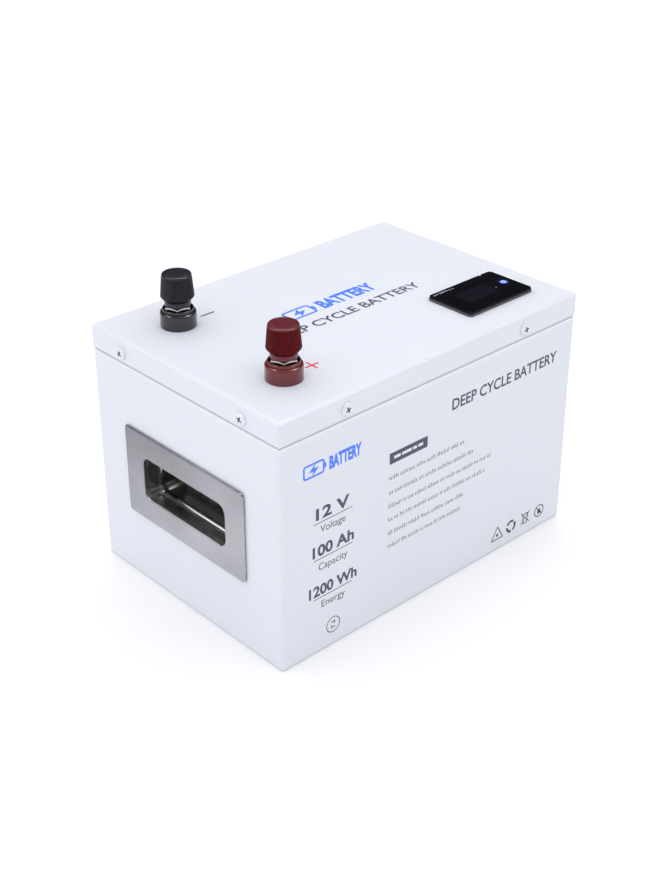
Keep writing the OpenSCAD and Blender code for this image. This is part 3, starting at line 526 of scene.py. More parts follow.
def build_case():
    w, d = 2 * CASE_HI.x, 2 * CASE_HI.y
    neck_w, neck_d = 2 * (LID_HI.x - NECK_INSET), 2 * (LID_HI.y - NECK_INSET)
    step = (w - neck_w) / 2
    inner = FOLD - SHEET
    shoulder = LID_LO.z - 0.3
    rings = folded(w, d, FOLD, FOLD, 0, 1)
    for drop, inset in ((2.0, 0), (0.35, 0.1), (0.12, 0.25), (0, step)):
        rings.append(rounded(w - 2 * inset, d - 2 * inset, FOLD, shoulder + 0.2 - drop))
    rings.append(rounded(neck_w, neck_d, FOLD, CASE_HI.z))
    rings.append(rounded(neck_w - 2 * SHEET, neck_d - 2 * SHEET, inner, CASE_HI.z))
    rings.append(rounded(neck_w - 2 * SHEET, neck_d - 2 * SHEET, inner, shoulder - SHEET))
    rings.append(rounded(w - 2 * SHEET, d - 2 * SHEET, inner, shoulder - SHEET - step))
    rings += folded(w - 2 * SHEET, d - 2 * SHEET, inner, inner, SHEET, 1, 3)[::-1]
    cutters = []
    play, reach, clinch_r = 0.75, 3, 3.4
    for side in (-1, 1):
        mouth = [rounded(CUP_SIZE[0] + 2 * play, CUP_SIZE[1] + 2 * play, CUP_CORNER + play, z)
                 for z in (-reach, reach)]
        cutters += moved(loft(mouth), on_end(side))
        for x, y in grip_studs():
            cutters += moved(shifted(lathe([(STUD_R + 0.25, -reach), (STUD_R + 0.25, reach)], 32), x, y),
                             on_end(side))
    cutters += drilled([(p - way * (NECK_INSET + SHEET / 2), way) for p, way in SCREWS], clinch_r, SHEET)
    piece = add_piece("case_shell", cut_mesh(loft(rings), cutters), ["case_paint", "shoulder_painted_highlight"],
                      replaces=["case"])
    # Faces of the top band outside the neck get the lighter copy of the paint: a painted highlight under the
    # rim.
    for face in piece.data.polygons:
        z = face.center.z / MM
        outside = max(abs(face.center.x / MM) - neck_w / 2, abs(face.center.y / MM) - neck_d / 2) > 0.05
        face.material_index = int(outside and shoulder - 1.5 < z < shoulder + 0.3)


def rim_lift(x, y):
    """How far the rim's lower edge rises at its round corners."""
    lift = 0
    for d in (LID_HI.x - abs(x), LID_HI.y - abs(y)):
        if d < RIM_CORNER:
            lift = max(lift, RIM_CORNER - sqrt(max(RIM_CORNER ** 2 - (RIM_CORNER - d) ** 2, 0)))
    return lift


def build_lid():
    w, d = 2 * LID_HI.x, 2 * LID_HI.y
    inner = FOLD - SHEET

    def rim(inset, radius):
        ring = rounded(w - 2 * inset, d - 2 * inset, radius, LID_LO.z, runs=RIM_RUNS)
        return [(x, y, z + rim_lift(x, y)) for x, y, z in ring]

    rings = folded(w - 2 * SHEET, d - 2 * SHEET, inner, LID_FOLD - SHEET, TOP - SHEET, -1, 3, RIM_RUNS)
    rings += [rim(SHEET, inner), rim(0, FOLD)]
    rings += folded(w, d, FOLD, LID_FOLD, TOP, -1, 6, RIM_RUNS)[::-1]
    cutters = drilled([(p - way * SHEET / 2, way) for p, way in SCREWS], 2.75, SHEET)
    for name in ("positive_base", "negative_base"):
        hole = lathe([(SPIGOT_R + HOLE_PLAY, -3), (SPIGOT_R + HOLE_PLAY, 3)], 64)
        cutters += shifted(hole, *middle(*node_box(name)), TOP)
    tub = [rounded(TUB[0] + 0.4, TUB[1] + 0.4, TUB[2] + 0.2, z) for z in (-3, 3)]
    cutters += shifted(loft(tub), *middle(*node_box("display_housing")), TOP)
    add_piece("lid_shell", cut_mesh(loft(rings), cutters), "case_paint", replaces=["lid"])


def build_screws():
    """Pan heads with a cross recess. The recess has its own finish."""
    head = lathe([(0.01, -10), (2.1, -10), (2.5, -9.6), (2.5, 0), (4.75, 0), (4.9, 0.15), (4.9, 0.6),
                  (4.78, 1.0), (4.4, 1.45), (3.7, 1.85), (2.6, 2.1), (1.3, SCREW_HEAD), (0.01, SCREW_HEAD)],
                 48)

    def cross(long, wide, z):
        l, w = long / 2, wide / 2
        return [(x, y, z) for x, y in ((l, -w), (l, w), (w, w), (w, l), (-w, l), (-w, w), (-l, w), (-l, -w),
                                       (-w, -w), (-w, -l), (w, -l), (w, -w))]
    mesh = cut_mesh(head, loft([cross(2.6, 0.7, 0.5), cross(5.6, 1.3, SCREW_HEAD + 0.3)]))
    template = mesh.copy()
    bm = bmesh.new()
    for i, (point, way) in enumerate(SCREWS):
        side, up = Vector((-way.y, way.x, 0)), Vector((0, 0, 1))
        turn = Matrix.Rotation(radians(25 + 40 * i), 3, "Z")
        one = template.copy()
        for v in one.vertices:
            p = turn @ v.co
            v.co = point * MM + side * p.x + up * p.y + way * p.z
        bm.from_mesh(one)
        bpy.data.meshes.remove(one)
    bmesh.ops.recalc_face_normals(bm, faces=bm.faces)
    joined = bpy.data.meshes.new("lid_screw_set")
    bm.to_mesh(joined)
    bm.free()
    piece = add_piece("lid_screw_set", joined, ["screw_paint", "recess"],
                      replaces=["lid_screws"], sharp=25)
    for face in piece.data.polygons:
        for point, way in SCREWS:
            out = face.center / MM - point
            height = out.dot(way)
            across = (out - way * height).length
            if across < 3 and 0.3 < height < SCREW_HEAD - 0.08 and abs(face.normal.dot(way)) < 0.93:
                face.material_index = 1
            if across < 1.4 and 0.3 < height < 1.2:
                face.material_index = 1


# ------------------------------------------------------------------ handles

GRIP = (93.2, 34.0, 7.0)


def build_handle(name, side):
    plate_lo, plate_hi = node_box(name + "_handle_plate")
    w, h = plate_hi.y - plate_lo.y, plate_hi.z - plate_lo.z
    face = max(abs(plate_lo.x), abs(plate_hi.x)) - CASE_HI.x
    corner, edge, roll, lip, lip_depth = 3.0, 1.1, 1.2, 1.2, 2.2
    rings = [rounded(w, h, corner, GASKET), rounded(w, h, corner, face - edge)]
    for i in range(1, 5):
        a = radians(90 * i / 4)
        inset = edge * (1 - cos(a))
        rings.append(rounded(w - 2 * inset, h - 2 * inset, corner - inset, face - edge + edge * sin(a)))
    for i in range(7):
        a = radians(90 * i / 6)
        out = roll * (1 - sin(a))
        rings.append(rounded(GRIP[0] + 2 * out, GRIP[1] + 2 * out, GRIP[2] + out,
                             face - roll + roll * cos(a)))
    for out, z in ((0, -lip_depth + 0.3), (0.3, -lip_depth), (lip - 0.3, -lip_depth),
                   (lip, -lip_depth + 0.3), (lip, GASKET)):
        rings.append(rounded(GRIP[0] + 2 * out, GRIP[1] + 2 * out, GRIP[2] + out, z))
    shape = loft(rings, closed=True)
    for x, y in grip_studs():
        stud = lathe([(0.01, GASKET - 10), (1.5, GASKET - 10), (STUD_R, GASKET - 9.5), (STUD_R, GASKET),
                      (0.01, GASKET)], 24)
        shape += shifted(stud, x, y)
    add_piece(name + "_plate", moved(shape, on_end(side)), "brushed_stainless",
              replaces=[name + "_handle_plate"])

    cup_lo, cup_hi = node_box(name + "_handle_cup")
    depth = max(abs(cup_hi.x), abs(cup_lo.x)) - min(abs(cup_hi.x), abs(cup_lo.x))
    back = GASKET - depth
    wall, bend = 1.0, 4.0

    def bowl(inset, floor, radius):
        w2, h2, r2 = CUP_SIZE[0] - 2 * inset, CUP_SIZE[1] - 2 * inset, CUP_CORNER - inset
        out = [rounded(w2, h2, r2, GASKET, seg=8)]
        for i in range(9):
            a = radians(90 * i / 8)
            pull = radius * (1 - cos(a))
            out.append(rounded(w2 - 2 * pull, h2 - 2 * pull, r2 - pull, floor + radius - radius * sin(a),
                               seg=8))
        return out

    rings = bowl(0, back, bend + wall)[::-1] + bowl(wall, back + wall, bend)
    add_piece(name + "_cup", moved(loft(rings), on_end(side)), "polished_stainless",
              replaces=[name + "_handle_cup"])


# ------------------------------------------------------------------ binding posts

STUD = 5.0
BORE = 5.05
FLATS = 18.0
PITCH = 1.5
RIBS = 48


def hex_nut(flats, z0, z1, n=72):
    """A hex nut with turned-down corners and a countersunk bore."""
    def ring(z_at):
        out = []
        for k in range(n):
            a = 2 * pi * k / n
            r = flats / 2 / cos(a % (pi / 3) - pi / 6)
            out.append((r * cos(a), r * sin(a), z_at(r)))
        return out

    slope = tan(radians(30))
    flat_r = flats / 2 * 0.955
    return loft([circle(BORE, z0, n), ring(lambda r: z0),
                 ring(lambda r: z1 - (r - flat_r) * slope), circle(flat_r, z1, n),
                 circle(BORE + 0.7, z1, n), circle(BORE, z1 - 0.7, n)], closed=True)


def threaded(r, z0, z1, n=24, step=0.25):
    """A stud with a helical thread, chamfered at both ends."""
    rings = []
    count = round((z1 - z0) / step)
    for i in range(count + 1):
        z = z0 + (z1 - z0) * i / count
        ring = []
        for k in range(n):
            turn = (z / PITCH - k / n) % 1
            depth = 0.85 * max(0, 1 - abs(turn - 0.5) / 0.44)
            end = min(z - z0, z1 - z)
            radius = min(r - depth, r - 1.0 + end * 0.9)
            a = 2 * pi * k / n
            ring.append((radius * cos(a), radius * sin(a), z))
        rings.append(ring)
    return loft(rings)


def build_post(name, gloss, matt, smooth, nut_turn):
    base_lo, base_hi = node_box(name + "_base")
    cx, cy = middle(base_lo, base_hi)
    base_r = (base_hi.x - base_lo.x) / 2
    base_top = base_hi.z - TOP
    nut_lo, nut_hi = node_box(name + "_hex_nut")
    floor, nut_top = nut_lo.z - TOP, nut_hi.z - TOP

    def put(shape, turn=0.0):
        return shifted(shape, cx, cy, TOP, turn)

    bore = STUD + 0.15
    shoulder, collar, pocket = 12.2, 11.5, 10.6
    base = [(bore, -3.5), (SPIGOT_R - 0.4, -3.5), (SPIGOT_R, -3.1), (SPIGOT_R, 0), (base_r - 0.25, 0),
            (base_r, 0.25)]
    base += arc(base_r - 1.8, shoulder - 1.8, 1.8, 0, 84, 9)
    base += [(collar + 0.06, shoulder + 0.02), (collar, shoulder + 0.12)]
    base += arc(collar - 0.55, base_top - 0.55, 0.55, 0, 90, 5)
    base += [(pocket + 0.15, base_top), (pocket, base_top - 0.2), (pocket, floor), (bore, floor)]
    add_piece(name + "_base_moulding", put(lathe(base, closed=True)), gloss, replaces=[name + "_base"])
    add_piece(name + "_nut", put(hex_nut(FLATS, floor, nut_top), nut_turn), "nickel_brass",
              replaces=[name + "_hex_nut"], sharp=20)

    stud_lo, stud_hi = node_box(name + "_stud")
    add_piece(name + "_threaded_stud", put(threaded(STUD, stud_lo.z - TOP, stud_hi.z - TOP)),
              "nickel_brass", replaces=[name + "_stud"], sharp=50)

    lo, hi = node_box(name + "_washer")
    z0, z1, r = lo.z - TOP, hi.z - TOP, (hi.x - lo.x) / 2
    ease = 0.15
    washer = [(BORE, z0), (r - ease, z0), (r, z0 + ease), (r, z1 - ease), (r - ease, z1), (BORE, z1)]
    add_piece(name + "_captive_washer", put(lathe(washer, closed=True)), "nickel_brass",
              body=name + "_washer", replaces=[name + "_washer"])

    lo, hi = node_box(name + "_cap")
    z0, z1, r = lo.z - TOP, hi.z - TOP, (hi.x - lo.x) / 2
    insert_lo, insert_hi = node_box(name + "_cap_insert")
    insert_r = (insert_hi.x - insert_lo.x) / 2
    rim, neck, groove = 11.1, 9.7, 0.42
    cap = [(insert_r, insert_hi.z - TOP), (insert_r, insert_lo.z - TOP), (8.3, insert_lo.z - TOP),
           (8.3, z0 + 0.2), (8.5, z0), (neck - 0.25, z0), (neck, z0 + 0.25), (neck, z0 + 3.1),
           (neck + 0.15, z0 + 3.5), (neck + 1.2, z0 + 4.7, 0.15), (r - 0.35, z0 + 6.1, groove),
           (r - 0.05, z0 + 6.5, groove), (r, z0 + 6.9, groove)]
    taper = 5
    for i in range(1, taper + 1):
        t = i / taper
        cap.append((r + (rim - r) * t, z0 + 6.9 + (z1 - 2.3 - z0 - 6.9) * t, groove))
    cap += [(rim - 0.05, z1 - 1.7, groove * 0.8), (rim - 0.12, z1 - 1.2, groove * 0.35),
            (rim - 0.2, z1 - 0.8), (rim - 0.4, z1 - 0.4), (rim - 0.75, z1 - 0.12), (rim - 1.2, z1),
            (rim - 1.7, z1 - 0.05), (rim - 2.3, z1 - 0.25), (rim - 3.2, z1 - 0.35), (4.0, z1 - 0.4),
            (0.01, z1 - 0.4)]
    piece = add_piece(name + "_knob", put(lathe(cap, RIBS * 6, ribs=RIBS)), [matt, smooth],
                      body=name + "_cap", replaces=[name + "_cap"], sharp=50)
    # The smooth top and neck take the lighter finish: painted light, a lighter copy of the rib colour,
    # besides a glossier surface.
    for face in piece.data.polygons:
        z = face.center.z / MM - TOP
        face.material_index = int(z < z0 + 3.6 or z > z1 - 1.3)


# ------------------------------------------------------------------ display

def build_display():
    lo, hi = node_box("display_housing")
    cx, cy = middle(lo, hi)
    w, d = hi.x - lo.x, hi.y - lo.y
    corner, ease = 3.5, 0.3
    well = (61.6, 35.6, 2)
    bezel = hi.z - TOP
    bottom = lo.z - TOP
    glass_lo, glass_hi = node_box("display_glass")
    glass_top = glass_hi.z - TOP

    def put(shape):
        return shifted(shape, cx, cy, TOP)

    rings = [rounded(*TUB, bottom), rounded(*TUB, 0), rounded(w - 0.3, d - 0.3, corner - 0.15, 0),
             rounded(w, d, corner, 0.3), rounded(w, d, corner, bezel - ease),
             rounded(w - 0.2, d - 0.2, corner - 0.1, bezel - 0.08),
             rounded(w - 2 * ease, d - 2 * ease, corner - ease, bezel),
             rounded(*well, bezel), rounded(*well, bottom + 1.2)]

    def block(x0, y0, z0, x1, y1, z1):
        return prism([(x0, y0), (x1, y0), (x1, y1), (x0, y1)], z0, z1)

    hole = lathe([(2.5, bottom - 1), (2.5, bottom + 2)], 32)
    notch = block(21.6, d / 2 - 2.0, -0.5, 24.2, d / 2 + 1, glass_top + 1)
    slot = block(-w / 2 + 3.6, -d / 2 - 1, -0.5, -w / 2 + 7.6, -d / 2 + 0.8, 0.9)
    shell = cut_mesh(put(loft(rings)), put(hole + slot + notch))
    add_piece("display_bezel", shell, "display_plastic", replaces=["display_housing"])
    snaps = []
    for x in (-18, 18):
        for y in (-1, 1):
            snaps += shifted(loft([rounded(8, 0.9, 0.2, -3.4), rounded(8, 0.98, 0.2, -1.6)]), x, y * 19.5)
    for x in (-27, 27):
        for y in (-14.5, 14.5):
            snaps += shifted(lathe([(0.95, bottom + 1.2), (2.4, bottom + 1.2), (2.4, -4.2), (0.95, -4.2)], 32,
                                   closed=True), x, y)
    add_piece("display_snaps", put(snaps), "display_plastic")

    button_lo, button_hi = node_box("power_button")
    bx, by = middle(button_lo, button_hi)
    button_top = button_hi.z - TOP
    gw, gd = glass_hi.x - glass_lo.x, glass_hi.y - glass_lo.y
    gr, roll = corner - 0.4, 0.45
    rings = [rounded(gw, gd, gr, bezel, seg=10), rounded(gw, gd, gr, glass_top - roll, seg=10)]
    for i in range(1, 5):
        a = radians(90 * i / 4)
        inset = roll * (1 - cos(a))
        rings.append(rounded(gw - 2 * inset, gd - 2 * inset, gr - inset, glass_top - roll + roll * sin(a),
                             seg=10))
    hole = shifted(lathe([(3.6, bezel - 1), (3.6, glass_top + 1)], 64), bx, by, TOP) + put(notch)
    lcd_lo, lcd_hi = node_box("display_lcd")
    screen = (*middle(lcd_lo, lcd_hi), 0), ((lcd_hi.x - lcd_lo.x) / 2, (lcd_hi.y - lcd_lo.y) / 2)
    FINISHES["display_window"] = window_material(screen, (bx, by, TOP + glass_top))
    add_piece("display_window_pane", cut_mesh(put(loft(rings)), hole), "display_window",
              replaces=["display_glass"])

    key = [(0.01, -1), (1.5, -1), (1.7, -0.8), (1.7, 1.0), (4.3, 1.0), (4.3, 1.7), (3.3, 1.7),
           (3.3, button_top - 0.25), (3.22, button_top - 0.1), (3.05, button_top), (2.3, button_top - 0.04),
           (0.01, button_top - 0.08)]
    piece = add_piece("lit_button", shifted(lathe(key, 64), bx, by, TOP), ["button_ring", "button_white"],
                      body="power_button", replaces=["power_button"])
    for face in piece.data.polygons:
        reach = max(hypot(piece.data.vertices[v].co.x / MM - bx, piece.data.vertices[v].co.y / MM - by)
                    for v in face.vertices)
        face.material_index = int(reach < 2.4)
    mark = button_top - 0.04
    ring = [(0.6, mark - 0.1), (1.3, mark - 0.1), (1.3, mark + 0.03), (0.6, mark + 0.03)]
    glyph = lathe(ring, 48, closed=True)
    glyph += shifted(prism([(-0.3, 0.2), (0.3, 0.2), (0.3, 1.7), (-0.3, 1.7)], mark - 0.1, mark + 0.04))
    add_piece("button_glyph", shifted(glyph, bx, by, TOP), "button_blue", "power_button")

    lens = lathe([(0.01, glass_top - 0.1), (0.45, glass_top - 0.1), (0.45, glass_top),
                  (0.3, glass_top + 0.03), (0.01, glass_top + 0.04)], 24)
    add_piece("led_spot", shifted(lens, *middle(*node_box("display_led")), TOP), "led_lens")
    return cx, cy, glass_top


# ------------------------------------------------------------------ printed marks
# Each mark is drawn flat, as thin solids of (across, up) shapes, and then laid on a face.

SINK, PROUD = -0.03, 0.04
rng = random.Random(11)


def strip(x0, y0, x1, y1):
    """An upright rectangle."""
    return prism([(x0, y0), (x1, y0), (x1, y1), (x0, y1)], SINK, PROUD)


def stroke(a, b, width):
    """A straight line of a given width."""
    a, b = Vector(a), Vector(b)
    along = (b - a).normalized()
    side = Vector((-along.y, along.x)) * width / 2
    return prism([tuple(a + side), tuple(a - side), tuple(b - side), tuple(b + side)][::-1], SINK, PROUD)


def band(cx, cy, r, width, a0=0.0, a1=360.0, steps=48):
    """An arc or a whole ring of a given width."""
    whole = a1 - a0 >= 360
    inner, outer = r - width / 2, r + width / 2
    if whole:
        section = [(inner, SINK), (outer, SINK), (outer, PROUD), (inner, PROUD)]
        return shifted(lathe(section, steps, closed=True), cx, cy)
    angles = [radians(a0 + (a1 - a0) * i / steps) for i in range(steps + 1)]
    outline = [(cx + outer * cos(a), cy + outer * sin(a)) for a in angles]
    outline += [(cx + inner * cos(a), cy + inner * sin(a)) for a in reversed(angles)]
    return prism(outline, SINK, PROUD)


def outlined(w, d, r, width, cx, cy):
    """A frame with round corners."""
    rings = []
    for out, z in ((0, SINK), (0, PROUD), (-width, PROUD), (-width, SINK)):
        rings.append(rounded(w + 2 * out, d + 2 * out, max(r + out, 0.1), z))
    return shifted(loft(rings, closed=True), cx, cy)


def text_mesh(words, weight):
    curve = bpy.data.curves.new("words", "FONT")
    curve.body, curve.size, curve.extrude, curve.offset = words, 1, 0.5, weight
    curve.resolution_u = 5
    holder = bpy.data.objects.new("words", curve)
    scene.collection.objects.link(holder)
    mesh = evaluated(holder)
    bpy.data.objects.remove(holder)
    return mesh


def words(text, x0, x1, base, cap, weight=0.0):
    """Lettering in the built-in font from x0 to x1, with its capitals cap high on a base line."""
    tall = max(v.co.y for v in text_mesh("H", weight).vertices)
    mesh = text_mesh(text, weight)
    left, right = min(v.co.x for v in mesh.vertices), max(v.co.x for v in mesh.vertices)
    points = [(x0 + (v.co.x - left) / (right - left) * (x1 - x0), base + v.co.y / tall * cap,
               SINK + (v.co.z + 0.5) * (PROUD - SINK)) for v in mesh.vertices]
    return [(points, [tuple(f.vertices) for f in mesh.polygons])]


def plain_line(x0, x1, base, tall, letter=1.25, gap=0.55, fill=0.42):
    """A line of small upright strokes that stands in for small print."""
    out = []
    x, left = x0, rng.randint(3, 8)
    while x < x1:
        wide = letter * rng.uniform(0.7, 1.1)
        top = tall * (1.0 if rng.random() < 0.25 else 0.72)
        out += strip(x, base, x + wide * fill, base + top)
        bar = base + rng.choice((0, 0.32, 0.6)) * tall * 0.9
        out += strip(x + wide * fill, bar, x + wide, bar + 0.12 * tall)
        x += wide + gap
        left -= 1
        if left == 0:
            x += letter
            left = rng.randint(2, 9)
    return out


def battery_mark(x0, x1, y0, y1):
    """A generic battery sign with a bolt, and the plain word beside it."""
    tall = y1 - y0
    wide = 1.75 * tall
    cx, cy = x0 + wide / 2, (y0 + y1) / 2
    out = outlined(wide, tall, 0.22 * tall, 0.13 * tall, cx, cy)
    out += strip(x0 + wide + 0.01 * tall, cy - 0.18 * tall, x0 + wide + 0.13 * tall, cy + 0.18 * tall)
    bolt = [(0.12, 0.38), (-0.42, -0.09), (-0.06, -0.09), (-0.12, -0.38), (0.42, 0.09), (0.06, 0.09)]
    out += prism([(cx + tall * x, cy + tall * y) for x, y in bolt], SINK, PROUD)
    out += words("BATTERY", x0 + wide + 0.40 * tall, x1, y0 + 0.06 * tall, 0.88 * tall, 0.045)
    return out


def on_front(shape):
    """Lays marks drawn as (across, up) on the front face."""
    return moved(shape, lambda x, y, z: (x, FRONT - z, y))


def on_top(shape):
    return moved(shape, lambda x, y, z: (x, y, TOP + z))


def add_print(name, shape, ink):
    add_piece(name, shape, ink, smooth=False)


def pictograms(y):
    """Four plain signs: a triangle, a loop of three arcs, a crossed bin and a struck ring."""
    pen = 0.9
    out = []
    tri = [(67.4, y - 5.2), (80.6, y - 5.2), (74.0, y + 6.2)]
    for i in range(3):
        out += stroke(tri[i], tri[(i + 1) % 3], pen)
    out += shifted(lathe([(1.3, SINK), (1.3, PROUD)], 24), 74.0, y - 1.6)
    cx = 90.2
    for a in (100, 220, 340):
        out += band(cx, y - 0.2, 4.6, 2.0, a - 42, a + 38, 12)
        tip = Vector((cos(radians(a + 58)), sin(radians(a + 58)))) * 4.6
        back = radians(a + 38)
        root = [Vector((cos(back), sin(back))) * r for r in (2.6, 6.6)]
        centre = Vector((cx, y - 0.2))
        out += prism([tuple(centre + root[0]), tuple(centre + root[1]), tuple(centre + tip)], SINK, PROUD)
    cx = 107.4
    out += stroke((cx - 3.6, y + 4.0), (cx + 3.6, y + 4.0), pen)
    out += stroke((cx - 3.0, y + 4.0), (cx - 2.2, y - 4.6), pen)
    out += stroke((cx + 3.0, y + 4.0), (cx + 2.2, y - 4.6), pen)
    out += stroke((cx - 2.2, y - 4.6), (cx + 2.2, y - 4.6), pen)
    out += stroke((cx - 5.2, y - 5.0), (cx + 5.2, y + 5.4), 0.7)
    out += stroke((cx - 5.2, y + 5.4), (cx + 5.2, y - 5.0), 0.7)
    cx = 124.3
    out += band(cx, y - 0.4, 5.2, pen)
    out += stroke((cx - 3.6, y + 3.2), (cx + 3.6, y - 4.0), pen)
    out += prism([(cx - 1.6, y - 3.2), (cx + 1.4, y - 3.2), (cx + 1.9, y - 1.0), (cx + 0.4, y + 2.8),
                  (cx - 0.4, y + 0.6), (cx - 1.9, y - 0.6)], SINK, PROUD)
    return out


def build_front_print():
    ratings = (("12 V", -117.8, -86.5, 111.3, 9.0, 108.5, "Voltage", -113.6, -90.3, 99.9),
               ("100 Ah", -121.0, -82.0, 81.6, 8.8, 79.0, "Capacity", -115.5, -88.1, 69.6),
               ("1200 Wh", -124.7, -79.0, 49.0, 8.6, 46.6, "Energy", -112.9, -90.4, 37.6))
    strong, thin = [], []
    for value, x0, x1, base, cap, line, label, l0, l1, label_base in ratings:
        strong += words(value, x0, x1, base, cap, 0.03)
        thin += words(label, l0, l1, label_base, 5.6)
        thin += strip(-120.0, line - 0.3, -83.5, line + 0.3)
    strong += words("DEEP CYCLE BATTERY", 14.8, 131.0, 147.0, 8.8, 0.018)
    add_print("front_ratings", on_front(strong), "slate_ink")
    # a plain ring with two hooks, below the ratings
    thin += band(-101.7, 17.6, 6.3, 0.7)
    thin += stroke((-103.2, 14.2), (-103.2, 17.0), 0.7) + stroke((-100.2, 21.0), (-100.2, 18.2), 0.7)
    thin += band(-101.7, 21.0, 1.5, 0.7, 180, 360, 12) + band(-101.7, 14.2, 1.5, 0.7, 0, 180, 12)
    lines = ((-47.9, 29.9, 114.2), (-47.9, 39.2, 102.2), (-48.0, 60.3, 91.0), (-48.1, 53.3, 80.0),
             (-48.2, 30.5, 68.4), (-48.2, 27.4, 57.4))
    for x0, x1, base in lines:
        thin += plain_line(x0, x1, base, 3.5)
    add_print("front_small_print", on_front(thin), "slate_ink")
    add_print("front_bar", on_front(strip(-48.0, 126.9, -9.8, 135.8)), "slate_ink")
    blocks = [strip(x, 130.2, x + wide, 132.6)
              for x, wide in ((-43.5, 6.4), (-35.8, 9.6), (-24.9, 4.2), (-19.4, 4.9))]
    pale = moved(sum(blocks, []), lambda x, y, z: (x, y, z + 0.03))
    add_print("front_bar_line", on_front(pale), "pale_ink")
    add_print("front_pictograms", on_front(pictograms(15.4)), "black_ink")
    add_print("front_mark", on_front(battery_mark(-129.0, -75.5, 146.6, 157.6)), "blue_ink")


def build_top_print():
    add_print("top_mark", on_top(battery_mark(-40.0, 47.5, 5.5, 20.5)), "blue_ink")
    add_print("top_title", on_top(words("DEEP CYCLE BATTERY", -70.0, 74.5, -13.8, 9.2, 0.018)), "slate_ink")
    add_print("minus_sign", on_top(strip(-84.0, 56.9, -71.4, 58.5)), "slate_ink")
    plus = strip(-84.0, -57.1, -72.0, -55.5)
    plus += strip(-78.8, -62.3, -77.2, -57.1) + strip(-78.8, -55.5, -77.2, -50.3)
    add_print("plus_sign", on_top(plus), "red_ink")


def build_window_print(cx, cy, glass_top):
    """Small pale strokes in the window's far corner, in place of lettering."""
    line = moved(plain_line(-31.6, -11.0, 17.4, 1.9, 1.0, 0.5, 0.4),
                 lambda x, y, z: (x + cx, y + cy, TOP + glass_top + z * 0.5))
    add_piece("window_small_print", line, "pale_ink", smooth=False)


# ------------------------------------------------------------------ light, floor and camera

def soft_light(name, place, target, width, height, power, colour=(1, 1, 1)):
    lamp = bpy.data.lights.new(name, "AREA")
    lamp.shape, lamp.size, lamp.size_y, lamp.energy, lamp.color = "RECTANGLE", width, height, power, colour
    holder = bpy.data.objects.new(name, lamp)
    holder.location = place
    holder.rotation_euler = (Vector(target) - Vector(place)).to_track_quat("-Z", "Y").to_euler()
    scene.collection.objects.link(holder)


# Soft boxes that only reflections show, as (direction, half angle in degrees, strength)
SOFT_BOXES = (((0.455, -0.542, 0.707), 24, 2.6), ((0.455, -0.542, 0.707), 9, 12),
              ((-0.579, 0.406, 0.707), 22, 1.7), ((-0.62, 0.27, 0.737), 8, 10),
              ((0.25, 0.28, 0.926), 13, 8))
ROOM_TILT, ROOM_LIGHT, ROOM_COLOUR = (0.09, 0.27, 0.33), 0.925, (0.975, 0.985, 1.0, 1)
FLOOR_R = 40.0          # metres


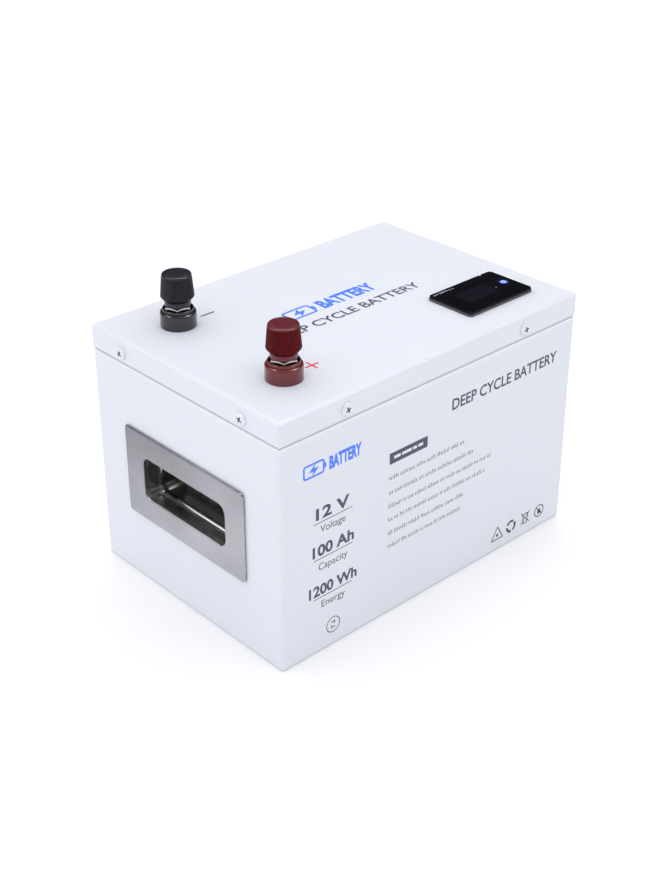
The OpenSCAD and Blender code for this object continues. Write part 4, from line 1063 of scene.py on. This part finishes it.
def build_studio():
    """An even white room, darker with soft boxes where polished faces see it, two lamps and a pale floor."""
    world = bpy.data.worlds.new("studio")
    scene.world = world
    world.use_nodes = True
    tree = world.node_tree
    background = tree.nodes["Background"]
    direction = node_of(tree, "TexCoord").outputs["Generated"]
    tilt = vector_maths(tree, "DOT_PRODUCT", direction, ROOM_TILT, "Value")
    even = maths(tree, "ADD", tilt, ROOM_LIGHT)
    height = node_of(tree, "SeparateXYZ", {0: direction}).outputs[2]
    low = ramp(tree, height, 0.0, 0.40, 0.45, 0.05)
    high = ramp(tree, height, 0.55, 0.95, 0.0, 0.5)
    dim = maths(tree, "ADD", low, high)
    path = node_of(tree, "LightPath").outputs
    first = ramp(tree, path["Ray Depth"], 2.2, 2.8, 1, 0)
    for way, reach, strong in SOFT_BOXES:
        toward = vector_maths(tree, "DOT_PRODUCT", direction, Vector(way).normalized(), "Value")
        outer, inner = (cos(radians(reach + soft)) for soft in (3, -3))
        box = ramp(tree, toward, outer, inner, 0, strong)
        dim = maths(tree, "ADD", dim, maths(tree, "MULTIPLY", box, first))
    strength = node_of(tree, "Mix", {0: path["Is Glossy Ray"], 2: even, 3: dim}).outputs[0]
    background.inputs["Color"].default_value = ROOM_COLOUR
    tree.links.new(strength, background.inputs["Strength"])

    floor = to_mesh(lathe([(FLOOR_R / MM, -2), (FLOOR_R / MM, -0.2)], 64), "studio_floor")
    paper = finish("floor_paper", (0.95, 0.95, 0.955), 0.9, shift=0.005, blotch=3, grain=400, bump=0.05)
    floor.materials.append(paper)
    holder = bpy.data.objects.new("studio_floor", floor)
    scene.collection.objects.link(holder)

    aim = (0, 0, 0.12)
    soft_light("overhead", (-0.42, -0.66, 1.50), aim, 1.7, 0.35, 3.2)
    soft_light("left_strip", (-1.50, -0.15, 0.75), aim, 0.22, 0.9, 0.4)


def build_camera():
    """The photo's viewpoint. Angles are in degrees, and places are in parts of the lid's length."""
    azimuth, elevation, roll = (radians(a) for a in (-41.589, 27.715, -0.680))
    length = 2 * LID_HI.x * MM
    away, across, up_shift = 3.911 * length, -0.106 * length, 0.3854 * length
    back = Vector((sin(azimuth) * cos(elevation), -cos(azimuth) * cos(elevation),
                   sin(elevation)))
    right = Vector((cos(azimuth), sin(azimuth), 0))
    up = back.cross(right)
    place = back * away + right * across + up * up_shift
    rolled_right = right * cos(roll) + up * sin(roll)
    rolled_up = up * cos(roll) - right * sin(roll)
    data = bpy.data.cameras.new("camera")
    data.lens, data.sensor_width, data.sensor_fit = 60.37, 36.0, "AUTO"
    data.shift_x, data.shift_y = 0.0444, -0.0536
    data.clip_start, data.clip_end = 0.01, 100
    holder = bpy.data.objects.new("camera", data)
    scene.collection.objects.link(holder)
    matrix = Matrix((rolled_right, rolled_up, back)).transposed().to_4x4()
    matrix.translation = place
    holder.matrix_world = matrix
    scene.camera = holder
    scene.view_settings.view_transform = "Standard"


# ------------------------------------------------------------------ the whole scene

def dress_cad_nodes():
    """Gives every CAD node that still shows the finish of its slot."""
    for row in frame["record"]["subparts"]:
        node = frame["nodes"][row["node"]]
        mat = FINISHES.get(row["material_slot"])
        if mat:
            node.data.materials.clear()
            node.data.materials.append(mat)


build_case()
build_lid()
build_screws()
build_handle("left", -1)
build_handle("right", 1)
build_post("positive", "red_gloss", "red_phenolic", "red_moulded", -11)
build_post("negative", "black_gloss", "black_phenolic", "black_moulded", -11)
window_place = build_display()
build_front_print()
build_top_print()
build_window_print(*window_place)
dress_cad_nodes()
build_studio()
build_camera()

bpy.context.view_layer.update()
